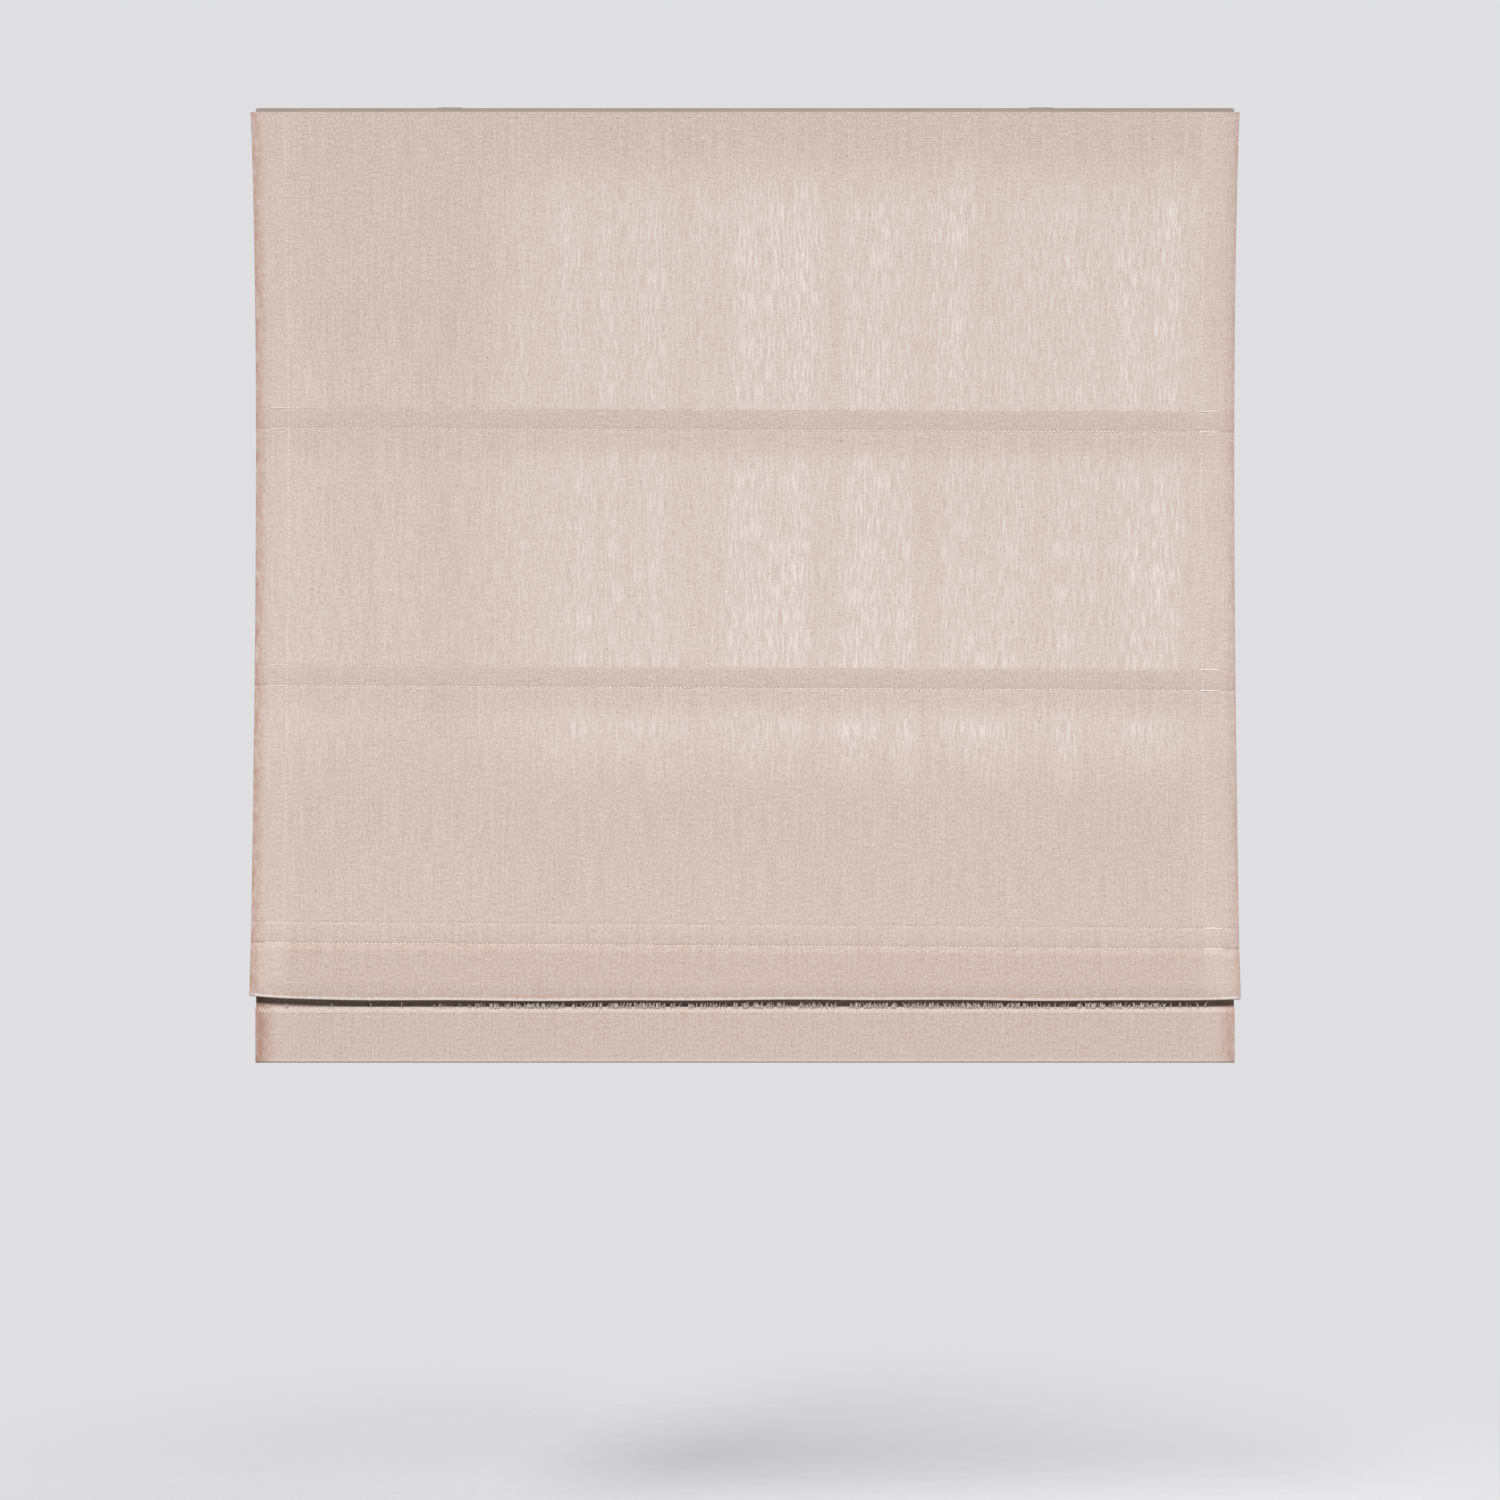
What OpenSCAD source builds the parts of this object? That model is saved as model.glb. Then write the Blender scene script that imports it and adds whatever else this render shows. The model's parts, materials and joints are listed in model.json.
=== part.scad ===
// Roman blind with a cordless spring lift, partly raised so that its lowest fold is closed.
// The origin lies midway between the two bracket screws, on the brackets' top face.
// +X runs to the right as the viewer sees the front, -Y points to the viewer and +Z is up.

/* [Cloth] */
// Width of the finished cloth
blind_w = 1002; // [700:1:1500]
// How far each side edge draws in at the waist
waist = 6; // [0:0.5:12]
// Thickness of one layer of cloth
cloth_t = 0.6; // [0.4:0.05:0.9]
// Width of the turned side hems
side_hem_w = 35; // [20:1:50]
// Distance from the fixing plane down to the top edge of the cloth
top_gap = 6; // [4:0.5:9]
// Distance from the top edge down to the first rod
first_drop = 312; // [180:1:400]
// Distance from one rod to the next
rod_pitch = 261; // [160:1:320]
// How far the closed fold hangs below the last rod
fold_drop = 65; // [55:1:80]
// How far the bottom edge hangs below the closed fold
bottom_reach = 64; // [58:1:90]
// How much narrower than the cloth the bottom strip is, at each end
strip_inset = 5; // [2:1:12]

/* [Bottom fold] */
// Radius of the crease at the foot of the fold, at mid cloth
fold_r = 1.5; // [1:0.25:3]
// How far the foot of the fold stands in front of the flat cloth
fold_forward = 8; // [6:0.5:14]
// Radius of the tight turn at the top of the back layer, at mid cloth
back_turn_r = 3; // [2.5:0.25:4]
// Height of the back layer above the foot of the fold
back_layer_h = 36; // [24:1:42]

/* [Rods and pockets] */
// Height of a rod pocket between its stitch rows
pocket_h = 21; // [14:0.5:30]
// Margin from a stitch row to the open part of its pocket
pocket_margin = 1.5; // [0.5:0.5:3]
// Diameter of a rod
rod_d = 4; // [3:0.25:6]
// Clearance between a rod or bar and the cloth round it
sleeve_clear = 0.3; // [0.1:0.05:0.6]
// Distance from the cloth's side edge to the end of a pocket
pocket_inset = 16; // [8:1:30]
// Distance from the end of a pocket to the end of its rod
rod_inset = 4; // [2:1:12]
// Length of a rod's end plug
rod_plug_l = 6; // [4:1:12]

/* [Bottom bar] */
// Height of the bottom hem, turned up to the front
hem_h = 58; // [48:1:60]
// Height of the flat bar
bar_h = 30; // [15:1:34]
// Thickness of the flat bar
bar_t = 3; // [2:0.25:5]
// Distance from the end of the hem to the end of the bar
bar_inset = 6; // [3:1:20]
// Length of a bar's end plug
bar_plug_l = 12; // [6:1:20]

/* [Lift cords] */
// Distance from the cloth's side edge to the nearest cord column
column_inset = 121; // [60:1:160]
// Diameter of a lift cord
cord_d = 1.4; // [0.8:0.1:2]
// Outer diameter of a cord ring
ring_od = 12; // [10:0.5:13]
// Thickness of a cord ring's wire
ring_wire = 2.2; // [1.6:0.1:2.6]
// Gap between a sewn ring and the cloth behind it
ring_seat = 0.2; // [0.1:0.05:0.5]
// Distance from the top of the bottom strip down to its tie rings
tie_drop = 5; // [3:0.5:10]
// Height of a cord adjuster
adjuster_h = 14; // [8:1:20]
// Largest radius of a cord adjuster
adjuster_r = 4.2; // [4.2:0.1:5]

/* [Headrail] */
// How much shorter than the cloth the headrail is, at each end
rail_inset = 7; // [4:0.5:20]
// Depth of the headrail from front to back
rail_d = 30; // [27:0.5:40]
// Height of the headrail
rail_h = 30; // [27:0.5:45]
// Wall of the headrail
rail_wall = 1.3; // [1:0.1:1.8]
// Width of the lips beside the open top
lip_w = 6; // [4:0.5:7]
// Thickness of an end cap's outer plate
cap_t = 2; // [1.5:0.5:4]
// Depth of an end cap's plug inside the rail
cap_plug_l = 10; // [6:1:20]
// Wall of an end cap's plug
cap_wall = 1.5; // [1:0.1:2.5]
// Corner radius of an end cap
cap_corner_r = 1.5; // [0.5:0.25:3]
// Thickness of the hook tape, and of the loop tape
tape_t = 1.5; // [1:0.1:2]
// Height of the hook tape, and of the loop tape
tape_h = 25; // [15:1:25]

/* [Brackets] */
// Distance from the end of the rail to the nearest bracket screw
bracket_inset = 194; // [150:1:220]
// Width of a bracket along the rail
bracket_w = 25; // [18:1:40]
// Thickness of the bracket strip
bracket_t = 1.2; // [0.8:0.1:2]
// Reach of a bracket's foot under the rail's lip
foot_reach = 2.5; // [1.5:0.25:3]
// Diameter of the screw hole
screw_hole_d = 4.5; // [3.5:0.25:6]

/* [Lift mechanism] */
// Distance across the flats of the hex axle
hex_af = 5; // [4:0.25:5.5]
// How far the axle stands out beyond the outer spools
axle_over = 30; // [20:1:60]
// Radius of a spool's core
core_r = 5.3; // [5:0.1:5.8]
// Radius of a spool's flanges
flange_r = 10; // [8.5:0.25:10.5]
// Thickness of a spool's flange
flange_t = 1.2; // [0.8:0.1:2]
// Distance between a spool's flanges
spool_w = 14; // [10:1:24]
// Radius of the journals that turn in the cradle
journal_r = 4; // [3.8:0.1:4.6]
// Turns of cord left on each spool
cord_turns = 6; // [3:1:6]
// Thickness of a cradle's walls
cradle_wall = 3; // [2:0.25:5]
// Thickness of a cradle's base
cradle_base = 1.5; // [1:0.1:2.5]
// Length of the spring motor's case
case_l = 26; // [18:1:40]
// Wall of the spring motor's case
case_wall = 1.3; // [1:0.1:1.6]
// Width of the case's foot on the rail's floor
case_foot_w = 18; // [12:1:20]
// Thickness of the flat spring
spring_t = 0.25; // [0.15:0.05:0.35]
// Turns of the flat spring
spring_turns = 8; // [5:1:9]

/* [Clearances] */
// Radial clearance of a turning journal
run_clear = 0.05; // [0.02:0.01:0.1]
// Clearance between pieces that are pushed together
fit_clear = 0.2; // [0.1:0.05:0.3]
// Clearance round pieces that turn
turn_clear = 0.4; // [0.3:0.05:0.6]

/* [Hidden] */
$fn = 64;

linen = [0.84, 0.76, 0.72];
steel = [0.72, 0.73, 0.74];
rail_paint = [0.82, 0.76, 0.71];
clear_plastic = [0.92, 0.92, 0.90];
cord_white = [0.93, 0.91, 0.88];
dark_plastic = [0.25, 0.25, 0.26];

// Heights, from the fixing plane down
cloth_top_z = -top_gap;
fold_z = rod_z(3) - fold_drop;
bottom_z = fold_z - bottom_reach;
strip_top_z = fold_z + back_layer_h;
hem_top_z = bottom_z + hem_h;
tie_z = strip_top_z - tie_drop;
rail_top_z = -bracket_t;
rail_floor_z = rail_top_z - rail_h + rail_wall;
lip_under_z = rail_top_z - rail_wall;
axle_z = rail_floor_z + cradle_base + turn_clear + flange_r;
function rod_z(k) = cloth_top_z - first_drop - (k - 1) * rod_pitch;
function pocket_top(k) = rod_z(k) + pocket_h / 2;
function pocket_foot(k) = rod_z(k) - pocket_h / 2;

// Planes, from the front to the back
rail_front_y = -rail_d / 2;
cloth_back_y = rail_front_y - 2 * tape_t;
cloth_front_y = cloth_back_y - cloth_t;
hem_layer_t = 2 * cloth_t;
rod_room = rod_d + 2 * sleeve_clear;
pocket_back_y = cloth_back_y + rod_room + cloth_t;
rod_y = cloth_back_y + rod_room / 2;
cord_y = pocket_back_y + ring_seat + ring_od / 2;
wind_r = core_r + cord_d / 2;
axle_y = cord_y + wind_r;
strip_y = pocket_back_y - cloth_t / 2;
back_layer_y = strip_y - 2 * back_turn_r;
front_layer_y = cloth_back_y - cloth_t / 2 - fold_forward;
fold_turn_z = fold_z + fold_r + cloth_t / 2;

// Bottom hem, turned up in front of the strip round the bar
strip_l = blind_w - 2 * strip_inset;
hem_back_y = strip_y + cloth_t / 2;
hem_room = bar_t + 2 * sleeve_clear;
hem_room_y = strip_y - cloth_t / 2 - hem_room;
hem_front_y = hem_room_y - cloth_t;
bar_y = hem_room_y + hem_room / 2;
bar_foot_z = bottom_z + cloth_t + sleeve_clear;
bar_l = strip_l - 2 * bar_inset - 2 * bar_plug_l;

// Headrail, and the places of its pieces along it
rail_l = blind_w - 2 * rail_inset;
rail_in_d = rail_d - 2 * rail_wall;
bracket_spacing = rail_l - 2 * bracket_inset;
column_pitch = blind_w / 2 - column_inset;
columns = [-column_pitch, 0, column_pitch];
motor_x = -column_pitch / 2;
tape_l = rail_l - 2 * waist - 2 * side_hem_w - 2 * fit_clear;

// Lift mechanism
hex_r = hex_af / 2 / cos(30);
hex_bore_r = hex_r + run_clear;
spool_l = spool_w + 2 * flange_t;
journal_l = cradle_wall + turn_clear;
cradle_gap = spool_l + 2 * turn_clear;
cradle_l = cradle_gap + 2 * cradle_wall;
cradle_top_r = journal_r + 3;
winding_l = cord_turns * cord_d;
winding_r = core_r + run_clear + cord_d;
cord_start_z = axle_z - sqrt(pow(winding_r + sleeve_clear, 2) - pow(core_r, 2));
cord_hole_r = cord_d + 1;
case_r = axle_z - rail_floor_z;
cavity_r = case_r - case_wall;
spring_in_r = journal_r + turn_clear;
spring_out_r = cavity_r - turn_clear;
lid_spigot_l = 1;

// Half the width of the front cloth at height z: drawn in below the top and widest at the fold
function half_w(z) = blind_w / 2 - waist * sin(180 * pow(min(1, z / fold_z), 0.75));
function smooth(s) = s * s * (3 - 2 * s);
function arc(c, r, a0, a1, n) =
    [for (i = [0:n]) let (a = a0 + (a1 - a0) * i / n) c + r * [cos(a), sin(a)]];

// A closed strip between two offsets from a path, measured towards the left of its direction.
// end_n is the path's normal at both of its ends.
function path_normal(p, i, end_n) =
    i == 0 || i == len(p) - 1 ? end_n
    : let (d = p[i + 1] - p[i - 1]) [-d.y, d.x] / norm(d);
function strip_outline(p, near, far, end_n) = concat(
    [for (i = [0:len(p) - 1]) p[i] + near * path_normal(p, i, end_n)],
    [for (i = [len(p) - 1:-1:0]) p[i] + far * path_normal(p, i, end_n)]
);

// Extrudes an outline drawn in Y and Z along X, from x0 over length l
module along_x(x0, l) {
    translate([x0, 0, 0]) rotate([90, 0, 90]) linear_extrude(l) children();
}

// Extrudes an outline drawn in X and Z towards the viewer, from the plane y
module towards_front(y, t) {
    translate([0, y, 0]) rotate([90, 0, 0]) linear_extrude(t) children();
}

// A bar with rounded long edges, drawn about its centre
module round_rect(size, r) {
    square([size.x - 2 * r, size.y], center = true);
    square([size.x, size.y - 2 * r], center = true);
    for (sx = [-1, 1], sy = [-1, 1])
        translate([sx * (size.x / 2 - r), sy * (size.y / 2 - r)]) circle(r);
}

// The cloth between two heights, following its side edges
module cloth_outline(z0, z1) {
    steps = 12;
    heights = [for (i = [0:steps]) z0 + (z1 - z0) * i / steps];
    polygon(concat(
        [for (z = heights) [half_w(z), z]],
        [for (i = [steps:-1:0]) [-half_w(heights[i]), heights[i]]]
    ));
}

// The turned hem along one side, between two heights
module hem_outline(z0, z1, w, side) {
    steps = 12;
    heights = [for (i = [0:steps]) z0 + (z1 - z0) * i / steps];
    polygon(concat(
        [for (z = heights) [side * half_w(z), z]],
        [for (i = [steps:-1:0]) [side * (half_w(heights[i]) - w), heights[i]]]
    ));
}

module cloth_panel(z0, z1) {
    color(linen) {
        towards_front(cloth_back_y, cloth_t) cloth_outline(z0, z1);
        for (side = [-1, 1])
            towards_front(cloth_back_y + hem_layer_t, hem_layer_t) hem_outline(z0, z1, side_hem_w, side);
    }
}

// How far a pocket's back stands off the cloth at height dz from its rod
function pocket_bulge(dz) =
    let (reach = pocket_h / 2 - pocket_margin)
    abs(dz) < reach ? rod_room * pow(cos(90 * dz / reach), 2) : 0;

module pocket_section(k, back) {
    steps = 24;
    reach = pocket_h / 2 - (back > 0 ? 0 : pocket_margin);
    heights = [for (i = [0:steps]) -reach + 2 * reach * i / steps];
    front_y = back > 0 ? cloth_front_y : cloth_back_y;
    polygon(concat(
        back > 0 ? [[front_y, rod_z(k) + reach], [front_y, rod_z(k) - reach]] : [],
        [for (dz = heights) [cloth_back_y + back + pocket_bulge(dz), rod_z(k) + dz]]
    ));
}

module rod_pocket(k) {
    pocket_half = half_w(rod_z(k)) - pocket_inset;
    color(linen) {
        towards_front(cloth_back_y, cloth_t) cloth_outline(pocket_top(k), pocket_foot(k));
        difference() {
            along_x(-pocket_half, 2 * pocket_half) pocket_section(k, cloth_t);
            along_x(-pocket_half - 1, 2 * pocket_half + 2) pocket_section(k, 0);
        }
        for (side = [-1, 1])
            towards_front(cloth_back_y + hem_layer_t, hem_layer_t)
                hem_outline(pocket_top(k), pocket_foot(k), pocket_inset, side);
    }
}

function rod_half(k) = half_w(rod_z(k)) - pocket_inset - rod_inset - rod_plug_l;

module rod(k) {
    color(clear_plastic) translate([-rod_half(k), rod_y, rod_z(k)]) rotate([0, 90, 0])
        cylinder(d = rod_d, h = 2 * rod_half(k));
}

// Domed plugs that close the two ends of a rod
module rod_plugs(k) {
    color(dark_plastic) for (side = [0, 1]) mirror([side, 0, 0])
        translate([rod_half(k), rod_y, rod_z(k)]) rotate([0, 90, 0]) rotate_extrude()
            polygon(concat(
                [[0, 0], [rod_d / 2, 0]],
                arc([0, rod_plug_l - rod_d / 2], rod_d / 2, 0, 90, 8)
            ));
}

module ring_row(z) {
    color(clear_plastic) for (x = columns) translate([x, cord_y, z]) rotate_extrude()
        translate([(ring_od - ring_wire) / 2, 0]) circle(d = ring_wire);
}

module cord_row(z0, z1) {
    color(cord_white) for (x = columns) translate([x, cord_y, z1]) cylinder(d = cord_d, h = z0 - z1);
}

module headrail() {
    color(rail_paint) difference() {
        along_x(-rail_l / 2, rail_l) difference() {
            translate([-rail_d / 2, rail_top_z - rail_h]) square([rail_d, rail_h]);
            translate([-rail_in_d / 2, rail_floor_z]) square([rail_in_d, rail_h - 2 * rail_wall]);
            translate([-rail_d / 2 + lip_w, lip_under_z - 1]) square([rail_d - 2 * lip_w, rail_wall + 2]);
        }
        for (x = columns)
            translate([x, cord_y, rail_floor_z - 2 * rail_wall])
                cylinder(r = cord_hole_r, h = 3 * rail_wall);
    }
}

module end_cap(side) {
    plug_d = rail_in_d - 2 * fit_clear;
    plug_h = rail_h - 2 * rail_wall - 2 * fit_clear;
    color(rail_paint) mirror([side < 0 ? 1 : 0, 0, 0]) translate([0, 0, rail_top_z - rail_h / 2]) {
        along_x(rail_l / 2, cap_t) round_rect([rail_d, rail_h], cap_corner_r);
        along_x(rail_l / 2 - cap_plug_l, cap_plug_l) difference() {
            square([plug_d, plug_h], center = true);
            square([plug_d - 2 * cap_wall, plug_h - 2 * cap_wall], center = true);
        }
    }
}

// One strip of spring steel: a plate on the rail's top with two legs that hook under its lips
module bracket(side) {
    leg_out = rail_d / 2 - lip_w - fit_clear;
    foot_top_z = lip_under_z - fit_clear;
    color(steel) translate([side * bracket_spacing / 2, 0, 0]) difference() {
        along_x(-bracket_w / 2, bracket_w) {
            translate([-rail_d / 2 + 2, -bracket_t]) square([rail_d - 4, bracket_t]);
            for (m = [0, 1]) mirror([m, 0]) {
                translate([leg_out - bracket_t, foot_top_z - bracket_t]) square([bracket_t, -foot_top_z]);
                translate([leg_out - bracket_t, foot_top_z - bracket_t])
                    square([bracket_t + fit_clear + foot_reach, bracket_t]);
            }
        }
        translate([0, 0, -bracket_t - 1]) cylinder(d = screw_hole_d, h = bracket_t + 2);
    }
}

module tape(y) {
    translate([-tape_l / 2, y, cloth_top_z - tape_h]) cube([tape_l, tape_t, tape_h]);
}

module hook_tape() {
    color(cord_white) tape(rail_front_y - tape_t);
}

module loop_tape() {
    color(linen) tape(cloth_back_y);
}

// Two upright walls with journal bores on a base that sits on the rail's floor
module spool_cradle(x) {
    color(clear_plastic) translate([x, 0, 0]) difference() {
        union() {
            along_x(-cradle_l / 2, cradle_l) translate([-rail_in_d / 2 + fit_clear, rail_floor_z])
                square([rail_in_d - 2 * fit_clear, cradle_base]);
            for (x0 = [-cradle_l / 2, cradle_gap / 2]) along_x(x0, cradle_wall) {
                translate([axle_y - cradle_top_r, rail_floor_z])
                    square([2 * cradle_top_r, axle_z - rail_floor_z]);
                translate([axle_y, axle_z]) circle(cradle_top_r);
            }
        }
        translate([-cradle_l, axle_y, axle_z]) rotate([0, 90, 0])
            cylinder(r = journal_r + run_clear, h = 2 * cradle_l);
        translate([0, cord_y, rail_floor_z - 1]) cylinder(r = cord_hole_r, h = cradle_base + 2);
    }
}

module cord_spool(x) {
    color(dark_plastic) translate([x, axle_y, axle_z]) rotate([0, 90, 0]) difference() {
        union() {
            translate([0, 0, -spool_l / 2 - journal_l]) cylinder(r = journal_r, h = spool_l + 2 * journal_l);
            cylinder(r = core_r, h = spool_w, center = true);
            for (s = [-1, 1]) translate([0, 0, s * (spool_w + flange_t) / 2])
                cylinder(r = flange_r, h = flange_t, center = true);
        }
        cylinder(r = hex_bore_r, h = spool_l + 4 * journal_l, center = true, $fn = 6);
    }
}

// The turns of cord that stay on each spool, side by side in one layer
module cord_windings() {
    wrap_r = core_r + run_clear;
    color(cord_white) for (x = columns) translate([x, axle_y, axle_z]) rotate([0, 90, 0]) rotate_extrude() {
        translate([wrap_r, -winding_l / 2]) square([cord_d / 2, winding_l]);
        for (i = [0:cord_turns - 1])
            translate([wrap_r + cord_d / 2, (i + 0.5) * cord_d - winding_l / 2]) intersection() {
                circle(d = cord_d);
                translate([-cord_d / 4, -cord_d / 2]) square(cord_d);
            }
    }
}

module lift_axle() {
    axle_l = 2 * (column_pitch + axle_over);
    color(steel) translate([-axle_l / 2, axle_y, axle_z]) rotate([0, 90, 0])
        cylinder(r = hex_r, h = axle_l, $fn = 6);
}

module case_outline() {
    translate([axle_y, axle_z]) circle(case_r - fit_clear);
    translate([axle_y - case_foot_w / 2, rail_floor_z]) square([case_foot_w, case_r / 2]);
}

module arbor_bore(x0, l) {
    translate([x0 - 1, axle_y, axle_z]) rotate([0, 90, 0]) cylinder(r = journal_r + run_clear, h = l + 2);
}

module spring_case() {
    color(dark_plastic) difference() {
        along_x(motor_x - case_l / 2, case_l) case_outline();
        translate([motor_x - case_l / 2 + case_wall, axle_y, axle_z]) rotate([0, 90, 0])
            cylinder(r = cavity_r, h = case_l);
        arbor_bore(motor_x - case_l / 2, case_wall);
    }
}

module spring_lid() {
    x0 = motor_x + case_l / 2;
    color(dark_plastic) difference() {
        union() {
            along_x(x0, case_wall) case_outline();
            translate([x0 - lid_spigot_l, axle_y, axle_z]) rotate([0, 90, 0]) difference() {
                cylinder(r = cavity_r - fit_clear, h = lid_spigot_l);
                translate([0, 0, -1]) cylinder(r = cavity_r - fit_clear - case_wall, h = lid_spigot_l + 2);
            }
        }
        arbor_bore(x0, case_wall);
    }
}

module spring_arbor() {
    arbor_l = case_l + case_wall + 2 * journal_l;
    color(clear_plastic) translate([motor_x + case_wall / 2, axle_y, axle_z]) rotate([0, 90, 0])
        difference() {
            cylinder(r = journal_r, h = arbor_l, center = true);
            cylinder(r = hex_bore_r, h = arbor_l + 2, center = true, $fn = 6);
        }
}

// The flat power spring, wound from the arbor out to the wall of its case
module lift_spring() {
    steps = 18 * spring_turns;
    spring_w = case_l - case_wall - lid_spigot_l - 2 * turn_clear;
    path = [for (i = [0:steps]) let (a = 20 * i)
        [axle_y, axle_z] + (spring_in_r + (spring_out_r - spring_in_r) * i / steps) * [cos(a), sin(a)]];
    color(steel) along_x(motor_x - case_l / 2 + case_wall + turn_clear, spring_w)
        polygon(strip_outline(path, -spring_t / 2, spring_t / 2, [-1, 0]));
}

// A layer of the fold that leans from one plane to another between two heights, without its last point
function leaning_layer(from, to) =
    let (steps = 10, run = to - from)
    [for (i = [0:steps - 1]) from + [run.x * smooth(i / steps), run.y * i / steps]];

// Mid line of the folded cloth: down the front layer, round its crease, up the back layer, over to the strip
function fold_path() =
    let (crease = [front_layer_y + fold_r, fold_turn_z], turn = [back_layer_y + back_turn_r, strip_top_z])
    concat(
        leaning_layer([cloth_back_y - cloth_t / 2, pocket_foot(3)], crease - [fold_r, 0]),
        arc(crease, fold_r, 180, 350, 8),
        leaning_layer(crease + [fold_r, 0], turn - [back_turn_r, 0]),
        arc(turn, back_turn_r, 180, 0, 10)
    );

module cloth_bottom_fold() {
    half = half_w(fold_z);
    color(linen) along_x(-half, 2 * half)
        polygon(strip_outline(fold_path(), -cloth_t / 2, cloth_t / 2, [1, 0]));
}

// The strip below the fold, with its lower end turned up in front and sewn down above the bar
module bottom_hem() {
    turn_r = 2 * cloth_t;
    room_top_z = hem_top_z - 2 * hem_room;
    strip_front_y = hem_room_y + hem_room;
    color(linen) along_x(-strip_l / 2, strip_l) difference() {
        polygon(concat(
            [[hem_back_y, strip_top_z], [strip_front_y, strip_top_z], [strip_front_y, hem_top_z]],
            [[hem_front_y, room_top_z]],
            arc([hem_front_y + turn_r, bottom_z + turn_r], turn_r, 180, 270, 6),
            arc([hem_back_y - turn_r, bottom_z + turn_r], turn_r, 270, 360, 6)
        ));
        polygon([
            [hem_room_y, bottom_z + cloth_t],
            [strip_front_y, bottom_z + cloth_t],
            [strip_front_y, hem_top_z - 2 * cloth_t],
            [hem_room_y, room_top_z]
        ]);
    }
}

module bottom_bar() {
    color(steel) along_x(-bar_l / 2, bar_l) translate([bar_y, bar_foot_z + bar_h / 2])
        round_rect([bar_t, bar_h], bar_t / 4);
}

module bar_plugs() {
    color(clear_plastic) for (side = [0, 1]) mirror([side, 0, 0])
        along_x(bar_l / 2, bar_plug_l) translate([bar_y, bar_foot_z + bar_h / 2])
            round_rect([bar_t, bar_h], bar_t / 2.5);
}

// Barrel beads below the tie rings that set the length of each cord
module cord_adjusters() {
    top_z = tie_z - ring_wire / 2 - ring_seat;
    bore_r = cord_d / 2 + run_clear;
    end_r = 0.65 * adjuster_r;
    color(clear_plastic) for (x = columns) translate([x, cord_y, top_z - adjuster_h]) difference() {
        rotate_extrude() polygon(concat(
            [[0, 0]],
            [for (i = [0:12]) [end_r + (adjuster_r - end_r) * sin(15 * i), adjuster_h * i / 12]],
            [[0, adjuster_h]]
        ));
        translate([0, 0, -1]) cylinder(r = bore_r, h = adjuster_h + 2);
    }
}

// The last stretch of cord runs through the adjusters and ends in a knot below each
module lift_cords_4() {
    end_z = tie_z - ring_wire / 2 - ring_seat - adjuster_h - run_clear;
    knot_r = 1.2 * cord_d;
    cord_row(rod_z(3), end_z - knot_r);
    color(cord_white) for (x = columns) translate([x, cord_y, end_z - knot_r]) sphere(knot_r);
}

headrail();
end_cap(-1);  // end_cap_left
end_cap(1);  // end_cap_right
bracket(-1);  // bracket_left
bracket(1);  // bracket_right
hook_tape();
loop_tape();
spool_cradle(columns[0]);  // spool_cradle_left
spool_cradle(columns[1]);  // spool_cradle_centre
spool_cradle(columns[2]);  // spool_cradle_right
spring_case();
spring_lid();
lift_spring();
cloth_panel(cloth_top_z, pocket_top(1));  // cloth_panel_1
cord_row(cord_start_z, rod_z(1));  // lift_cords_1
lift_axle();
cord_spool(columns[0]);  // cord_spool_left
cord_spool(columns[1]);  // cord_spool_centre
cord_spool(columns[2]);  // cord_spool_right
cord_windings();
spring_arbor();
rod(1);  // rod_1
rod_plugs(1);  // rod_plugs_1
rod_pocket(1);  // rod_pocket_1
ring_row(rod_z(1));  // cord_rings_1
cloth_panel(pocket_foot(1), pocket_top(2));  // cloth_panel_2
cord_row(rod_z(1), rod_z(2));  // lift_cords_2
rod(2);  // rod_2
rod_plugs(2);  // rod_plugs_2
rod_pocket(2);  // rod_pocket_2
ring_row(rod_z(2));  // cord_rings_2
cloth_panel(pocket_foot(2), pocket_top(3));  // cloth_panel_3
cord_row(rod_z(2), rod_z(3));  // lift_cords_3
rod(3);  // rod_3
rod_plugs(3);  // rod_plugs_3
rod_pocket(3);  // rod_pocket_3
ring_row(rod_z(3));  // cord_rings_3
cloth_bottom_fold();
lift_cords_4();
bottom_bar();
bar_plugs();
bottom_hem();
ring_row(tie_z);  // tie_rings
cord_adjusters();
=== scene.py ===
# %% [markdown]
# # A linen roman blind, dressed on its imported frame
# The blind hangs from a short headrail. Three thin rods lie in sewn pockets behind the cloth, and its
# lowest fold is already closed in front of the weighted bottom strip. The rigid parts come from the packed
# frame and only get a finish. Everything sewn is made here, in metres and in the frame's own place.

# %% Load the frame
import json
import math
import random

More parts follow.
